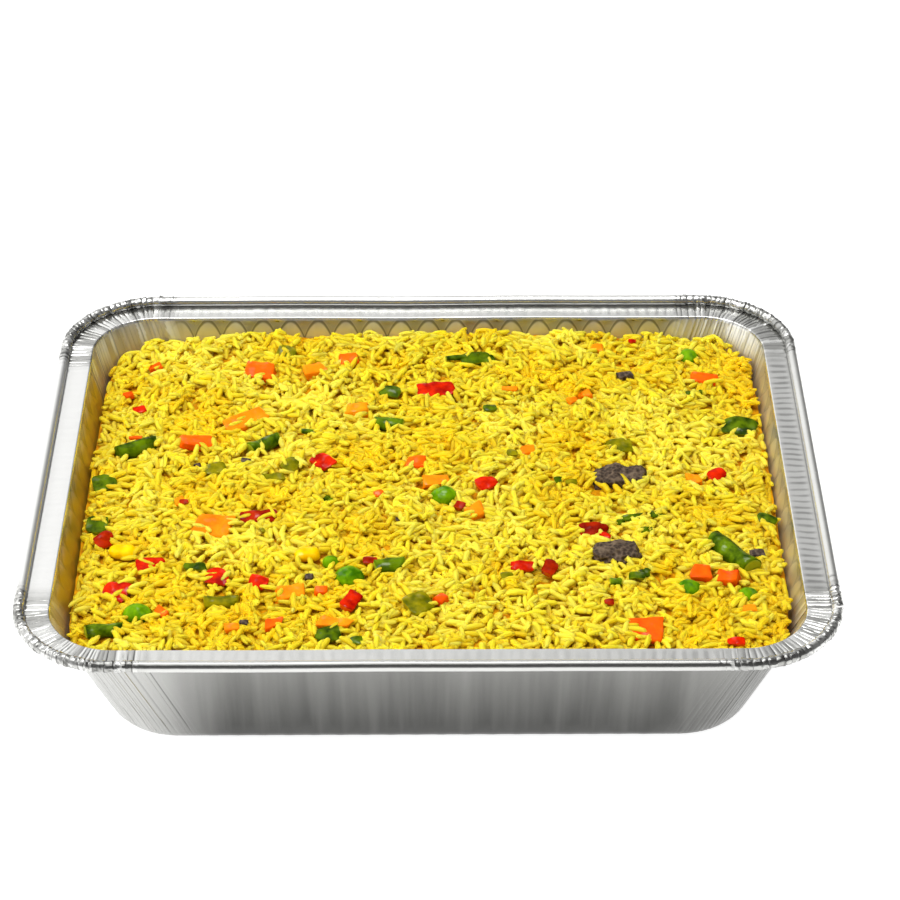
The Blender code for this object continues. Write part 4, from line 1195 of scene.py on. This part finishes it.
def scatterBits():
    for kind, (finish, shape, spots) in bits.items():
        made = []
        for index, (pixelX, pixelY, length, width, height, turn) in enumerate(spots):
            deselectAll()
            spot = placeOnRice(pixelX, pixelY)
            while beyondWall(spot.x, spot.y, spot.z) > -(length * mm / 2 + 2 * mm):
                spot = spot - Vector((spot.x, spot.y, 0)).normalized() * 1 * mm
            line, column = cellOf(spot.x, spot.y)
            span = max(2, int(width * mm / 2 / pile["cell"]))
            level = float(np.median(heights[line - span:line + span + 1, column - span:column + span + 1]))
            piece = shape((length, width, height), index + 40)
            settle(piece, kind, (spot.x, spot.y, level + height * 0.5 * mm), turn, 8)
            made.append(piece)
        deselectAll()
        for piece in made:
            piece.select_set(True)
        bpy.context.view_layer.objects.active = made[0]
        bpy.ops.object.join()
        made[0].name = kind
        rideAndReplace(made[0], finishes[finish], slots.get(finish, finish))


scatterBits()
print("bits", len(bits))


# Pale floor and soft studio light, brighter behind and to the left of the tray
studio = {"floor": 4.0, "paint": 0.55, "glow": 0.9, "brightest": 1.1, "darkest": 0.26}
lamps = {
    "overhead": ((-0.15, -0.06, 1.3), 1.3, 16.0),
    "leftFill": ((-1.2, -0.2, 0.9), 0.7, 3.0),
}


def setUpStudio():
    deselectAll()
    bpy.ops.mesh.primitive_plane_add(size=studio["floor"], location=(0, 0, -0.05 * mm))
    floor = bpy.context.active_object
    floor.name = "studioFloor"
    paint = Finish("studioFloor", Base_Color=(studio["paint"],) * 3 + (1,), Roughness=0.9,
                   Emission_Color=(1, 1, 1, 1), Emission_Strength=studio["glow"])
    floor.data.materials.append(paint.material)
    world = bpy.data.worlds.new("studio")
    world.use_nodes = True
    tree = world.node_tree
    way = tree.nodes.new("ShaderNodeSeparateXYZ")
    tree.links.new(tree.nodes.new("ShaderNodeTexCoord").outputs["Generated"], way.inputs[0])
    right, back, up = (Wire(tree, way.outputs[i]) for i in range(3))
    level = 0.35 + back * 0.5 + up * 0.1 - right * 1.3
    level = level.maths("MAXIMUM", level, studio["darkest"])
    level = level.maths("MINIMUM", level, studio["brightest"])
    plug(tree, tree.nodes["Background"].inputs[1], level)
    tree.nodes["Background"].inputs[0].default_value = (1, 1, 1, 1)
    bpy.context.scene.world = world
    for name, (spot, size, power) in lamps.items():
        data = bpy.data.lights.new(name, "AREA")
        data.shape = "DISK"
        data.size = size
        data.energy = power
        light = bpy.data.objects.new(name, data)
        aim = Vector(spot).to_track_quat("Z", "Y").to_matrix().to_4x4()
        light.matrix_world = Matrix.Translation(spot) @ aim
        bpy.context.scene.collection.objects.link(light)
    bpy.context.scene.view_settings.view_transform = "Standard"


setUpStudio()
print("studio ready")
bpy.context.view_layer.update()
